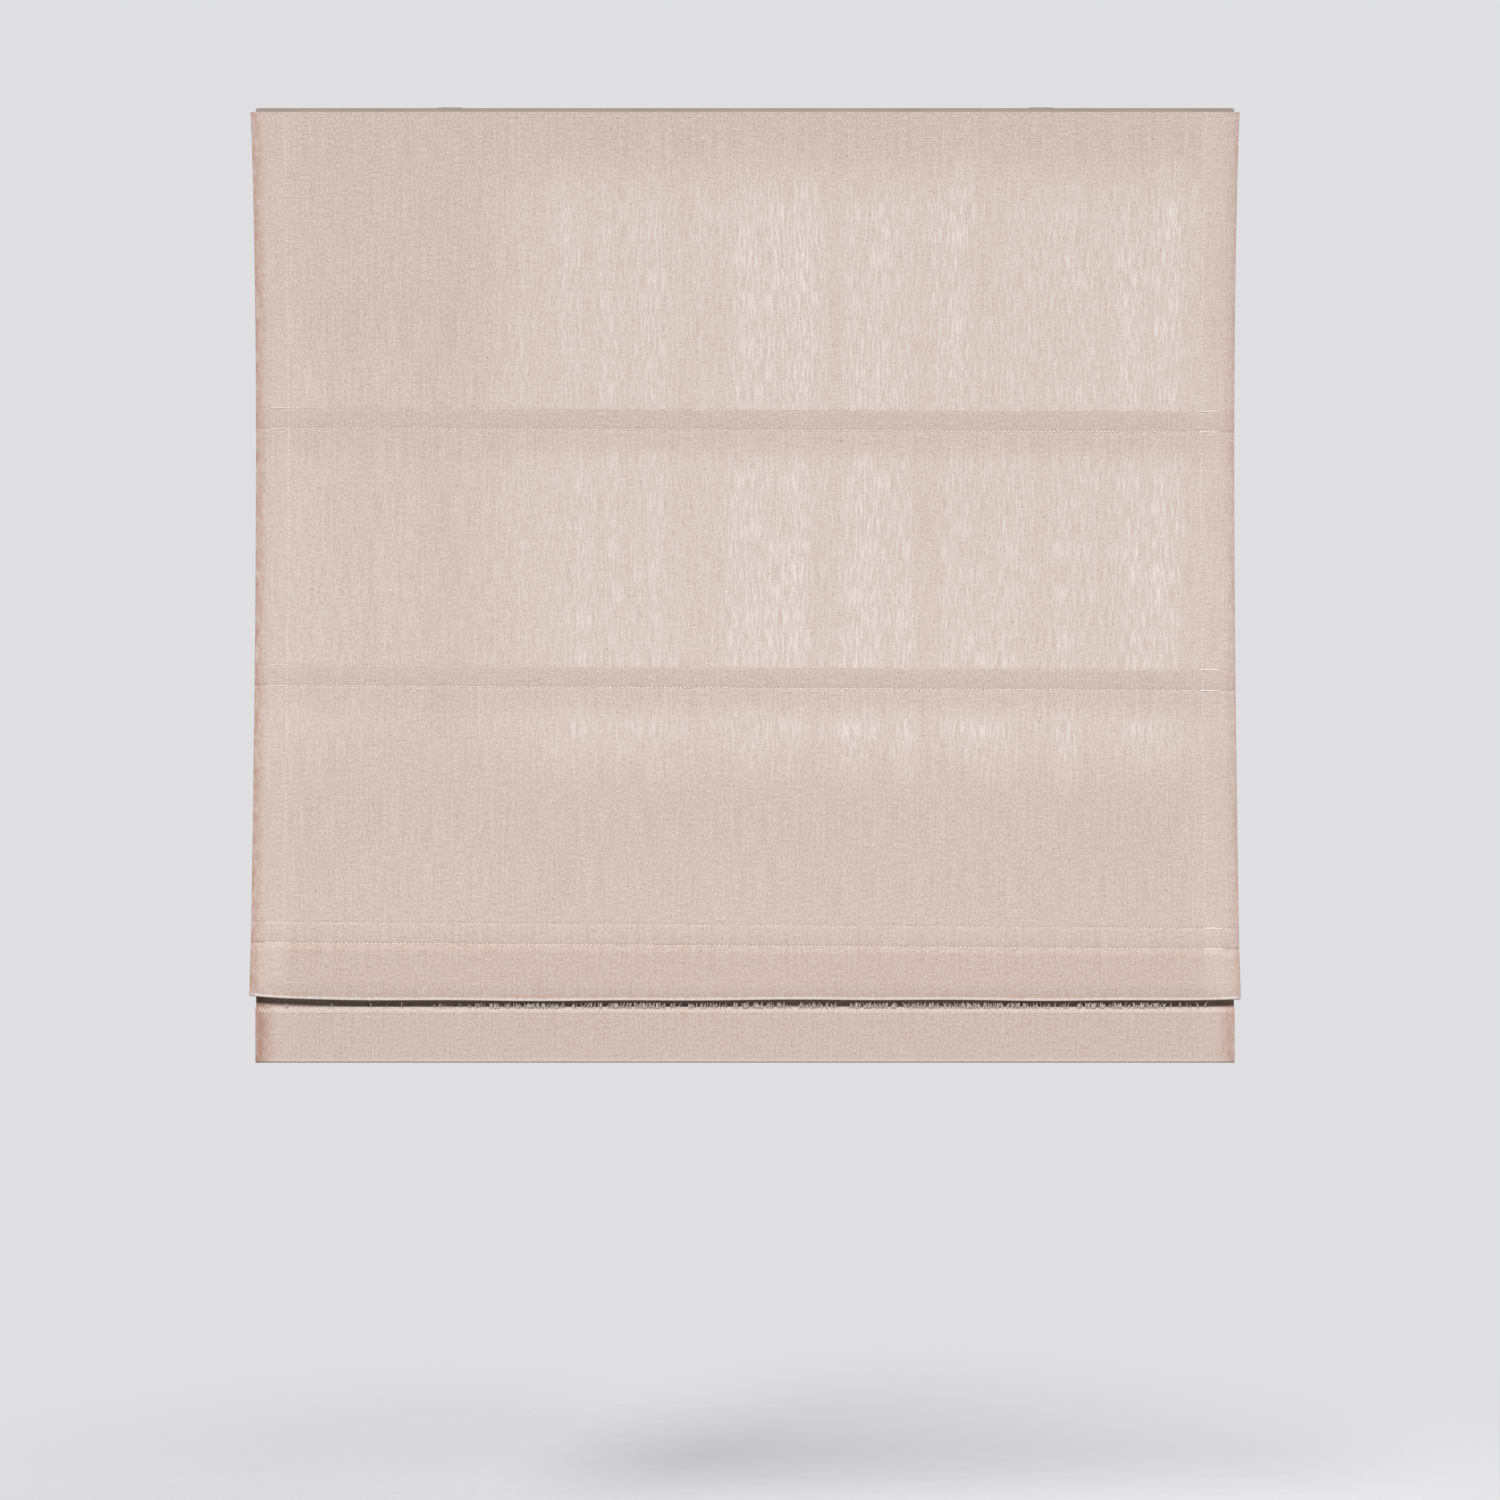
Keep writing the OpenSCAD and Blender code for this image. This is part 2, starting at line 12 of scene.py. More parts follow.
import bpy
import numpy as np
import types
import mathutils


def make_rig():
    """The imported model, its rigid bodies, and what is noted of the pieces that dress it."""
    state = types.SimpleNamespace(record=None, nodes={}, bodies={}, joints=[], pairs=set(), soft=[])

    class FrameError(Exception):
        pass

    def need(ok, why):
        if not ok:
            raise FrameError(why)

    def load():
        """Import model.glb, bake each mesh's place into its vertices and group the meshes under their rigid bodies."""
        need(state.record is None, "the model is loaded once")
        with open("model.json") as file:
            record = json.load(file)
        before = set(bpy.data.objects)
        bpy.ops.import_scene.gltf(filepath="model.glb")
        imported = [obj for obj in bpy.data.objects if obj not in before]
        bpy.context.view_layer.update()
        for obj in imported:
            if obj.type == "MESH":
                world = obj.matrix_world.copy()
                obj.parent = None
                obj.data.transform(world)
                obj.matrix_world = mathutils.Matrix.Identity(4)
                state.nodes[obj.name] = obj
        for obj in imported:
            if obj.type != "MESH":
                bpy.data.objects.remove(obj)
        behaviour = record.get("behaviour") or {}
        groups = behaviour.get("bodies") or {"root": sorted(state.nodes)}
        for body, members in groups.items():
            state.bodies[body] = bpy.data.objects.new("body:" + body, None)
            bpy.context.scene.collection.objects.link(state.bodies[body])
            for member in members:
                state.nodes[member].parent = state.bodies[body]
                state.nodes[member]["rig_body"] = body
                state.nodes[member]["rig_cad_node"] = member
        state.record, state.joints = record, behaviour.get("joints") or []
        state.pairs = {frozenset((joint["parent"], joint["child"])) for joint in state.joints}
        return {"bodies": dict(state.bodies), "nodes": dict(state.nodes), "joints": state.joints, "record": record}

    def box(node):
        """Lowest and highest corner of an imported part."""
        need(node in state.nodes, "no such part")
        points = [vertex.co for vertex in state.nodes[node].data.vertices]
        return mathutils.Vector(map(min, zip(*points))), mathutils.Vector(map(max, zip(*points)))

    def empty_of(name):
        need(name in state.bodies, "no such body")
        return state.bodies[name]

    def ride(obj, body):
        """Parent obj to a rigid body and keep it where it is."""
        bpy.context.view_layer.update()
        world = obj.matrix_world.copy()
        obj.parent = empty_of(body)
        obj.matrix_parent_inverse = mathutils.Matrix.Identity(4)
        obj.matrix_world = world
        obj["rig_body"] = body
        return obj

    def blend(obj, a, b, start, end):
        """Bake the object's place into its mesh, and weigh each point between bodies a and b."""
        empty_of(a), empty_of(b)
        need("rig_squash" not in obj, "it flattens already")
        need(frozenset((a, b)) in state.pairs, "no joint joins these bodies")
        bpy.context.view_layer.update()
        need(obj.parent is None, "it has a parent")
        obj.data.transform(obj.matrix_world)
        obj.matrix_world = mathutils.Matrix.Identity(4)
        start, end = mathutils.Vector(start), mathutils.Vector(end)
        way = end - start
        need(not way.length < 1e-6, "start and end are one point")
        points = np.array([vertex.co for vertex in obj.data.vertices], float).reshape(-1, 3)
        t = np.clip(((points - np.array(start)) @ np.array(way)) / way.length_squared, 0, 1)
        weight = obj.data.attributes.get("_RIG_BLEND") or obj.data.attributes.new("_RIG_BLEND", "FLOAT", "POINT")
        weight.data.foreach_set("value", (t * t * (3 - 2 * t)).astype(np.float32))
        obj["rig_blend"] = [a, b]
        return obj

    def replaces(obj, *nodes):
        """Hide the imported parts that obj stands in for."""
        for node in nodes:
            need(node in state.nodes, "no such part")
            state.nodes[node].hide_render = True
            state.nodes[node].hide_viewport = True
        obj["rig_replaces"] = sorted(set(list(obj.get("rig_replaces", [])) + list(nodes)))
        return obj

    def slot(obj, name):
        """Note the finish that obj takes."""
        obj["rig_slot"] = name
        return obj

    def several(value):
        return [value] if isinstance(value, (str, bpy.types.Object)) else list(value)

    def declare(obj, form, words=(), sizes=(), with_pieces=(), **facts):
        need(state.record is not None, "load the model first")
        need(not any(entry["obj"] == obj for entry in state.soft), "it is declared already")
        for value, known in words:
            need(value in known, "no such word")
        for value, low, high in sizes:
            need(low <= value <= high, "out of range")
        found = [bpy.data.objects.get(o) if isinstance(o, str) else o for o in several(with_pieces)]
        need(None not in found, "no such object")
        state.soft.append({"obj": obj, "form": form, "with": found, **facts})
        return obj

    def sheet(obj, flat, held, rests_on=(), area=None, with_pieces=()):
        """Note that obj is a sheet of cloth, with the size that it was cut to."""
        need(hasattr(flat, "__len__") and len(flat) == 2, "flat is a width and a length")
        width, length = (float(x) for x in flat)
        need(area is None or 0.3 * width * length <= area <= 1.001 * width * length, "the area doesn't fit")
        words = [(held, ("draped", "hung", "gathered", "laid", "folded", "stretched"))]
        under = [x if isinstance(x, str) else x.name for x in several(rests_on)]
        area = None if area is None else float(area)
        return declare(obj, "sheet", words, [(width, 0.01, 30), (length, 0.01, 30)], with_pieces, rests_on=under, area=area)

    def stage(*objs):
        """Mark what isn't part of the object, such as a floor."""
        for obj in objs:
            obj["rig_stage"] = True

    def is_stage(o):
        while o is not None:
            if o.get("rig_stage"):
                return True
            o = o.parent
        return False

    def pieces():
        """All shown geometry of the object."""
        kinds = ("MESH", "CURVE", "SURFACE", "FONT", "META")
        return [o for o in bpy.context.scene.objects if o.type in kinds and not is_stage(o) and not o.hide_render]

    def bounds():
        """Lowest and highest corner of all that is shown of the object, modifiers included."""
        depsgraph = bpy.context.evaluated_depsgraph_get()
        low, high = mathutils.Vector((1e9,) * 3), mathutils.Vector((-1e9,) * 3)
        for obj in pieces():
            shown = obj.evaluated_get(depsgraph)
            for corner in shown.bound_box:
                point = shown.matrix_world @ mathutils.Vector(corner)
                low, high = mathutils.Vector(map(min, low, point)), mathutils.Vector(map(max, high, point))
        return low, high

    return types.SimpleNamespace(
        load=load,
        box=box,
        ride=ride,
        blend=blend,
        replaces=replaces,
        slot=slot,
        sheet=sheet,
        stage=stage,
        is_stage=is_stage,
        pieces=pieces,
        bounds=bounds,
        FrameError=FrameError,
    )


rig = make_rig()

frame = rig.load()
cad_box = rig.bounds()
nodes = frame["nodes"]
scene = bpy.context.scene
scene.view_settings.view_transform = "Standard"
MM = 0.001
print("frame:", len(nodes), "nodes on", len(frame["bodies"]), "bodies")

# %% [markdown]
# ## Camera
# The blind is seen straight on, from a little below its middle, with a fairly long lens. A level camera with
# no tilt keeps the side edges upright, so it needs no shift.

# %% Camera
LENS = 64
VIEW_DISTANCE = 2.7
CLOTH_FRONT = -0.0186
EYE = (0.005, CLOTH_FRONT - VIEW_DISTANCE, -0.652)
camera_data = bpy.data.cameras.new("camera")
camera_data.lens = LENS
camera_data.sensor_width = 36
camera = bpy.data.objects.new("camera", camera_data)
scene.collection.objects.link(camera)
camera.location = EYE
camera.rotation_euler = (math.pi / 2, 0, 0)
scene.camera = camera
print("camera at", [round(v, 3) for v in camera.location])

# %% [markdown]
# ## Shader sums
# A finish is easier to read as a sum than as a web of nodes. This small class wraps one socket: adding or
# multiplying two of them adds a Math node, and `make` adds any other node with its settings and sockets.


# %% A socket that can be summed
class Socket:
    """One output of a shader tree, used in sums like a number."""

    def __init__(self, tree, link):
        self.tree = tree
        self.link = link

    def make(self, kind, settings=None, sockets=None, output=0):
        node = self.tree.nodes.new(kind)
        for name, setting in (settings or {}).items():
            setattr(node, name, setting)
        for name, value in (sockets or {}).items():
            if isinstance(value, Socket):
                self.tree.links.new(value.link, node.inputs[name])
            else:
                node.inputs[name].default_value = value
        return Socket(self.tree, node.outputs[output])

    def maths(self, operation, first, second):
        return self.make("ShaderNodeMath", {"operation": operation}, {0: first, 1: second})

    def __add__(self, other):
        return self.maths("ADD", self, other)

    def __radd__(self, other):
        return self.maths("ADD", other, self)

    def __sub__(self, other):
        return self.maths("SUBTRACT", self, other)

    def __rsub__(self, other):
        return self.maths("SUBTRACT", other, self)

    def __mul__(self, other):
        return self.maths("MULTIPLY", self, other)

    def __rmul__(self, other):
        return self.maths("MULTIPLY", other, self)

    def scaled(self, x, y, z):
        sockets = {0: self, 1: (x, y, z)}
        return self.make("ShaderNodeVectorMath", {"operation": "MULTIPLY"}, sockets)

    def shifted(self, across):
        """This place moved along its first axis by a value."""
        step = self.make("ShaderNodeCombineXYZ", None, {"X": across})
        return self.make("ShaderNodeVectorMath", {"operation": "ADD"}, {0: self, 1: step})

    def noise(self, scale=1.0, detail=2.0, roughness=0.5):
        sockets = {"Vector": self, "Scale": scale, "Detail": detail, "Roughness": roughness}
        return self.make("ShaderNodeTexNoise", None, sockets)

    def ramp(self, low, high, to_low=0.0, to_high=1.0):
        sockets = {"Value": self, "From Min": low, "From Max": high, "To Min": to_low, "To Max": to_high}
        return self.make("ShaderNodeMapRange", {"interpolation_type": "SMOOTHSTEP"}, sockets)

    def tint(self, first, second, blend="MIX"):
        """A first colour mixed with a second or multiplied by it, with this value as the share."""
        settings = {"data_type": "RGBA", "blend_type": blend}
        return self.make("ShaderNodeMix", settings, {0: self, 6: first, 7: second}, 2)

    def bump(self, strength, distance):
        sockets = {"Strength": strength, "Distance": distance, "Height": self}
        return self.make("ShaderNodeBump", None, sockets)


print("shader sums ready")


# %% A finish and the sockets it feeds
def linear(red, green, blue):
    """A colour as a screen shows it, from 0 to 255, turned into the light it stands for."""
    share = [v / 255 for v in (red, green, blue)]
    light = [v / 12.92 if v <= 0.04045 else ((v + 0.055) / 1.055) ** 2.4 for v in share]
    return (*light, 1.0)


def new_finish(name, constants):
    """A material, its Object coordinates, and a function that links values to its shader."""
    material = bpy.data.materials.new(name)
    material.use_nodes = True
    tree = material.node_tree
    shader = tree.nodes["Principled BSDF"]
    for socket, value in constants.items():
        shader.inputs[socket].default_value = value
    place = Socket(tree, tree.nodes.new("ShaderNodeTexCoord").outputs["Object"])

    def feed(**sockets):
        for socket, value in sockets.items():
            tree.links.new(value.link, shader.inputs[socket.replace("_", " ")])

    return material, place, feed


print("finish helper ready")

# %% [markdown]
# ## Linen
# The cloth is a pale rosy linen of uneven yarn. Slubs show as fine light streaks and bits of bark as dark
# specks. The weave is open and crinkled in the middle, and there a painted glow of light shining through
# lightens it. It is lighter where a hem doubles it, and it carries painted shade where other layers lie
# behind it. A pale painted highlight runs along the crease and the strip's foot, and a darker, rosier painted
# shade along the side edges. A picture of cloth would repeat and stretch, so noise draws the yarn. It reads
# the cloth's own map, in metres along the weave, and so runs round every fold. Marks on the mesh say where
# each change lies.

# %% Linen finish
LINEN_DARK = linear(197, 174, 163)
LINEN_LIGHT = linear(228, 213, 205)
# Painted light colours: a highlight for creases, a glow for light through the open weave, a multiply for shade behind
# other layers and a rosy shade for the side edges.
LINEN_HIGHLIGHT = linear(252, 246, 241)
LINEN_THIN_GLOW = linear(244, 236, 230)
LINEN_SHADE_MULTIPLY = (0.82, 0.785, 0.765, 1)
LINEN_EDGE_SHADE = linear(193, 158, 144)
LINEN_FLECK = linear(120, 98, 86)
LINEN_SHEEN = {"Sheen Weight": 0.05, "Sheen Roughness": 0.5, "Specular IOR Level": 0.12}
SLUB_STRAY = 5 * MM
CRINKLE_STRAY = 4 * MM


def linen_finish():
    finish, place, feed = new_finish("linen", LINEN_SHEEN)
    weave = place.make("ShaderNodeUVMap", {"uv_map": "weave"})

    def pattern(across, along, detail, roughness=0.5, start=weave):
        """Noise with so many cells per metre across the cloth and along it."""
        return start.scaled(across, along, 1).noise(1.0, detail, roughness)

    def surface(mark):
        return place.make("ShaderNodeAttribute", {"attribute_name": mark}, None, 2)

    warp = pattern(500, 16, 0.0)
    weft = pattern(60, 640, 1.0)
    grain = pattern(500, 380, 0.5, 0.4)
    yarn = pattern(1500, 1400, 2.0)
    wander = pattern(110, 75, 1.0) - 0.5
    slub = pattern(430, 24, 2.0, start=weave.shifted(SLUB_STRAY * wander)).ramp(0.5, 0.74)
    crinkle = pattern(580, 44, 2.5, 0.6, weave.shifted(CRINKLE_STRAY * wander)).ramp(0.42, 0.66)
    patch = pattern(7, 4, 2.0).ramp(0.45, 0.7)
    group = pattern(26, 0.9, 2.0, 0.6).ramp(0.3, 0.72, 0.3, 1.0)
    rag = pattern(260, 90, 2.0, 0.6).ramp(0.25, 0.75, 0.25, 1.15)
    fleck = pattern(190, 170, 0.0).ramp(0.9, 0.922)
    tone = 0.5 + 0.28 * (warp - 0.5) + 0.4 * (weft - 0.5) + 0.75 * (grain - 0.5) + 0.6 * (yarn - 0.5)
    body = tone.ramp(0.05, 0.95).tint(LINEN_DARK, LINEN_LIGHT)
    streaked = (slub * (0.1 + 0.25 * patch)).tint(body, LINEN_LIGHT)
    # Painted glow: the open middle is lightened with streaks as if light shone through its thin weave.
    thin = 0.08 + group * (0.1 + (0.6 + 0.25 * patch) * crinkle)
    opened_and_glowing = (surface("open") * thin).tint(streaked, LINEN_THIN_GLOW)
    flecked = (0.75 * fleck).tint(opened_and_glowing, LINEN_FLECK)
    doubled = (0.14 * surface("doubled")).tint(flecked, LINEN_LIGHT)
    # Painted highlight: the crease and the strip's foot turn are paled as if they caught the light.
    worn = (0.9 * surface("worn")).tint(doubled, LINEN_HIGHLIGHT)
    # Painted shade along the side edges, darker and rosier, broken up by rag.
    edge_shaded = (surface("edge") * rag).tint(worn, LINEN_EDGE_SHADE)
    # Painted shade: a darker multiply where pockets, inner fold layers or the bar lie behind the cloth.
    colour = (0.2 * surface("backed")).tint(edge_shaded, LINEN_SHADE_MULTIPLY, "MULTIPLY")
    height = 0.5 * warp + 0.4 * weft + 0.5 * grain + 0.6 * yarn + 0.3 * slub
    feed(Base_Color=colour, Roughness=0.8 + 0.15 * grain, Normal=height.bump(0.4, 0.4 * MM))
    return finish


linen = linen_finish()
print("linen ready")

# %% [markdown]
# ## Thread, cord and tape
# The sewing thread is a little lighter than the linen, and the lift cord is a white braid. Its strands could
# be modelled, but at this size two crossed waves of colour and bump look the same. The loop tape is a matt
# pile and the hook tape a field of tiny bristles, so both are one fine noise with a different depth.


# %% Thread, cord and tape finishes
def thread_finish(name, low, high):
    finish, place, feed = new_finish(name, {"Roughness": 0.6, "Sheen Weight": 0.1})
    twist = place.scaled(2400, 2400, 2400).noise(detail=1.0)
    feed(Base_Color=twist.tint(low, high))
    return finish


def cord_finish():
    finish, place, feed = new_finish("lift_cord", {"Roughness": 0.75})
    along = place.make("ShaderNodeUVMap", {"uv_map": "weave"})
    settings = {"wave_type": "BANDS", "bands_direction": "DIAGONAL"}
    one_way, other_way = (
        along.make("ShaderNodeTexWave", settings, {"Vector": along.scaled(lay, 900, 1), "Scale": 1.0}, 1)
        for lay in (4, -4)
    )
    braid = 0.5 * one_way + 0.5 * other_way
    feed(Base_Color=braid.tint(linear(205, 200, 192), linear(240, 237, 230)))
    feed(Normal=braid.bump(0.5, 0.2 * MM))
    return finish


def tape_finish(name, low, high, scale, depth):
    finish, place, feed = new_finish(name, {"Roughness": 0.85, "Sheen Weight": 0.2})
    pile = place.scaled(scale, scale, scale).noise(detail=2.0, roughness=0.7)
    feed(Base_Color=pile.ramp(0.3, 0.7).tint(low, high), Normal=pile.bump(0.6, depth))
    return finish


sewing_thread = thread_finish("sewing_thread", linear(240, 229, 221), linear(252, 246, 240))
linen_yarn = thread_finish("linen_yarn", linear(216, 200, 190), linear(234, 222, 213))
lift_cord = cord_finish()
loop_pile = tape_finish("loop_pile", linear(196, 184, 176), linear(222, 213, 206), 1400, 0.5 * MM)
hook_bristle = tape_finish("hook_bristle", linear(205, 198, 190), linear(238, 233, 226), 2200, 0.8 * MM)
print("thread, cord and tape ready")

# %% [markdown]
# ## Hard finishes
# The headrail is powder coated, so it has a faint orange peel. Its warm stone colour is darkened to a taupe
# that paints the shade it hangs in. Steel, aluminium and the fibre of the rods are drawn or rolled, with fine
# lines along their length, and the small moulded parts have a soft satin surface. Noise on Object coordinates
# needs no map and gives all three: stretched it looks drawn, and fine and even it looks coated or moulded.


# %% Hard finishes
def powder(name, low, high):
    finish, place, feed = new_finish(name, {"Coat Roughness": 0.4})
    peel = place.noise(900, 2.0)
    cloud = place.noise(14, 3.0)
    feed(Base_Color=cloud.ramp(0.3, 0.7).tint(low, high), Roughness=0.45 + 0.15 * cloud)
    feed(Normal=peel.bump(0.25, 0.15 * MM))
    return finish


def drawn(name, low, high, roughness, stretch, metallic=1.0):
    finish, place, feed = new_finish(name, {"Metallic": metallic})
    lines = place.scaled(*stretch).noise(detail=3.0, roughness=0.65)
    stain = place.noise(35, 3.0)
    feed(Base_Color=(0.6 * lines + 0.4 * stain).ramp(0.25, 0.75).tint(low, high))
    feed(Roughness=roughness + 0.2 * lines, Normal=lines.bump(0.2, 0.1 * MM))
    return finish


def moulded(name, low, high, roughness):
    finish, place, feed = new_finish(name, {"IOR": 1.5})
    spark = place.noise(1600, 2.0)
    cloud = place.noise(60, 2.0)
    feed(Base_Color=cloud.ramp(0.3, 0.7).tint(low, high), Roughness=roughness + 0.15 * spark)
    feed(Normal=spark.bump(0.2, 0.1 * MM))
    return finish


zinc = (linear(146, 147, 149), linear(170, 171, 172))
sprung = (linear(138, 141, 146), linear(166, 168, 172))
aluminium = (linear(160, 161, 163), linear(186, 186, 187))
fibre = (linear(212, 206, 190), linear(233, 228, 214))
finishes = {
    # The rail's taupe is darkened to paint the shade it hangs in.
    "rail_paint": powder("rail_powder_coat", linear(152, 139, 130), linear(162, 148, 139)),
    "axle_steel": drawn("zinc_steel", *zinc, 0.7, (20, 900, 900)),
    "spring_steel": drawn("spring_steel", *sprung, 0.7, (900, 90, 90)),
    "bar_aluminium": drawn("mill_aluminium", *aluminium, 0.5, (9, 700, 700)),
    "rod_fibre": drawn("rod_fibre", *fibre, 0.45, (12, 1300, 1300), metallic=0.0),
    "pale_plastic": moulded("pale_plastic", linear(205, 196, 188), linear(216, 208, 200), 0.4),
    "clear_plastic": moulded("opal_plastic", linear(224, 222, 216), linear(238, 237, 232), 0.25),
    "dark_plastic": moulded("dark_plastic", linear(52, 52, 54), linear(66, 66, 68), 0.4),
    "loop_tape": loop_pile,
    "hook_tape": hook_bristle,
    "linen": linen,
    "cord": lift_cord,
}
print("finishes:", sorted(finishes))

# %% [markdown]
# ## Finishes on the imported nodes
# The record names a slot for every node, so each one takes the finish of its own slot.

# %% Finish every node
for name, node in nodes.items():
    for material_slot in node.material_slots:
        material_slot.material = finishes[material_slot.material.name]
print("finished", len(nodes), "nodes")

# %% [markdown]
# ## How the cloth hangs
# The cloth is one long strip: flat from the headrail to the third rod, then forward into a pressed fold and
# back to the bottom strip. A cloth simulation could hang it, but its own weight and the bar pull it nearly
# flat, so a line from top to foot and a row of columns from edge to edge give the same sheet and keep its
# sizes. The side hems are turned behind, so a row starts behind the left edge and ends behind the right one.
# Small waves, the sag of the sewn rows to one side and the pull of each stitch row are added on top.

# %% Heights and planes of the cloth
CLOTH_T = 0.6 * MM
SIDE_HEM = 35 * MM
POCKET_H = 21 * MM
HEAD_ROWS = (5 * MM, 26 * MM)
cloth_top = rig.box("cloth_panel_1")[1].z
pocket_boxes = [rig.box(f"rod_pocket_{k}") for k in (1, 2, 3)]
pocket_top = [high.z for low, high in pocket_boxes]
pocket_foot = [low.z for low, high in pocket_boxes]
rod_z = [(top + foot) / 2 for top, foot in zip(pocket_top, pocket_foot)]
fold_low, fold_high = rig.box("cloth_bottom_fold")
strip_low, strip_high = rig.box("bottom_hem")
cloth_mid = pocket_boxes[0][0].y + CLOTH_T / 2
half_full = fold_high.x
top_rows = [cloth_top - drop for drop in HEAD_ROWS]
sewn_rows = top_rows + pocket_top + pocket_foot
print("rods at", [round(z, 4) for z in rod_z], "fold foot", round(fold_low.z, 4))

# %% Width and sag of the hanging cloth
WAIST = 6 * MM
SAG_TOP = 1.2 * MM
SAG_PER_METRE = 2.6 * MM
SAG_START = 150 * MM


def smooth(share):
    share = np.clip(share, 0, 1)
    return share * share * (3 - 2 * share)


def rise(value, start, reach):
    """0 up to start, 1 from start + reach on, and smooth between them."""
    return smooth((value - start) / reach)


def fall(value, start, reach):
    """1 up to start, 0 from start + reach on, and smooth between them."""
    return 1 - rise(value, start, reach)


def half_width(z):
    """Half the cloth's width, drawn in a little between the headrail and the fold."""
    return half_full - WAIST * np.sin(np.pi * np.clip(z / fold_low.z, 0, 1) ** 0.75)


def sag(x, z):
    """How far a row of weave hangs below the level, more to the right and lower down."""
    slope = -(SAG_TOP - SAG_PER_METRE * z) / half_full
    return slope * x * rise(cloth_top - z, 0, SAG_START)


print("half width at the rods", [round(float(half_width(z)), 4) for z in rod_z])

# %% Waves, puckers and pockets
PULL_REACH = 1.0 * MM
PUCKER_REACH = 5 * MM
PUCKER_DEPTH = 0.5 * MM
# In millimetres: how far each sewn row draws the cloth in, and how far each pocket swells it.
ROW_PULLS = [0.1, 0.1] + [0.16, 0.2, 0.3] * 2
POCKET_SWELLS = [0.14, 0.2, 0.36]
pick = random.Random(11).uniform
WAVES = [(pick(6, 42), pick(-9, 9), pick(0, 6.28), pick(0.1, 0.22)) for _ in range(9)]
PUCKERS = [(pick(180, 520), pick(0, 6.28)) for _ in range(7)]


def hang_share(z):
    """0 at the headrail, the rods and the fold, 1 midway between them."""
    held = [cloth_top, *rod_z, fold_low.z]
    share = np.interp(-z, [-h for h in held], range(len(held)))
    return np.sin(np.pi * share) ** 2


def relief(x, z):
    """How far the cloth stands forward of its plane: waves, stitched rows and full pockets."""
    waves = sum(size * np.sin(a * x + b * z + turn) for a, b, turn, size in WAVES)
    forward = waves * MM * (0.25 + 0.75 * hang_share(z))
    pucker = sum(np.sin(a * x + turn) for a, turn in PUCKERS) / len(PUCKERS)
    for row, pull in zip(sewn_rows, ROW_PULLS):
        gap = z - row
        forward = forward - pull * MM * np.exp(-((gap / PULL_REACH) ** 2))
        forward = forward + PUCKER_DEPTH * pucker * np.exp(-((gap / PUCKER_REACH) ** 2))
    for middle, swell in zip(rod_z, POCKET_SWELLS):
        share = np.clip((middle + POCKET_H / 2 - z) / POCKET_H, 0, 1)
        forward = forward + swell * MM * np.sin(np.pi * share**1.3) * (share > 0)
    return forward


print("waves:", len(WAVES), "puckers:", len(PUCKERS))

# %% Columns from edge to edge
HEM_TURN_STEPS = 6


def hemmed_columns(count):
    """Share of the half width, shift, layer and painted edge shade of each column, hems included."""
    turn_r = CLOTH_T
    columns = [(1.0, -SIDE_HEM, 1.2 * turn_r, 0.15)]
    for share in (0.05, 0.35, 0.7, 0.95):
        columns.append((1.0, -SIDE_HEM + share * (SIDE_HEM - turn_r), 2 * turn_r, 0.1 + 0.5 * share**3))
    for step in range(HEM_TURN_STEPS + 1):
        angle = math.pi * step / HEM_TURN_STEPS
        columns.append((1.0, turn_r * math.sin(angle) - turn_r, turn_r + turn_r * math.cos(angle), 1.0))
    left = [(-share, -shift, layer, tint) for share, shift, layer, tint in columns]
    inner = np.sin(np.linspace(-1, 1, count + 1)[1:-1] * np.pi / 2 * 0.6) / math.sin(np.pi / 2 * 0.6)
    front = [(share, -share * turn_r, 0.0, 0.0) for share in inner]
    return np.array(left + front + columns[::-1])


def plain_columns(count):
    """Columns of a strip whose edges are cut, not turned."""
    return np.array([(share, 0.0, 0.0, 0.0) for share in np.linspace(-1, 1, count + 1)])


HEMMED = hemmed_columns(130)
PLAIN = plain_columns(150)
print("columns:", len(HEMMED), "hemmed,", len(PLAIN), "plain")


# %% Marks that the linen finish reads
def by_side(x, left, right):
    return np.where(x < 0, left, right)


def side_edge_shade(x, half, tint):
    """Painted shade, darker and rosier: strongest at the left edge, fading out over the first centimetre from either
    side.
    """
    near = fall(half - np.abs(x), 0, by_side(x, 13 * MM, 10 * MM))
    return by_side(x, 1.0, 0.6) * np.maximum(tint, near)


def doubled_tint(x, half):
    """1 along the side hem, where two layers lie together and look a little lighter."""
    inward = half - np.abs(x)
    return rise(inward, 8 * MM, 10 * MM) * fall(inward, 28 * MM, 32 * MM)


def open_weave_and_glow(x, z):
    """How open the weave is, with its painted glow of light through it: most in the middle, none in a pocket or by the
    fold, little below a pocket.
    """
    middle = rise(x, -285 * MM, 90 * MM) * fall(x, 430 * MM, 60 * MM)
    least = 0.12 + 0.25 * rise(-z, 200 * MM, 120 * MM)
    share = least + (1 - least) * middle
    share = share * rise(-z, 20 * MM, 100 * MM) * fall(-z, 610 * MM, 100 * MM)
    for top, foot in zip(pocket_top, pocket_foot):
        below = 0.2 + 0.8 * rise(foot - z, 10 * MM, 30 * MM)
        share = share * np.where(z > top, 1, np.where(z > foot, 0, below))
    return share


print("marks ready: edge, doubled, open")


# %% A sheet of linen
def add_piece(name, mesh):
    piece = bpy.data.objects.new(name, mesh)
    scene.collection.objects.link(piece)
    return piece


def grid_faces(rows, columns):
    """The corners of each face between neighbouring rows and columns of points."""
    index = np.arange(rows * columns).reshape(rows, columns)
    corners = [index[:-1, :-1], index[1:, :-1], index[1:, 1:], index[:-1, 1:]]
    return np.stack(corners, axis=2).reshape(-1, 4)


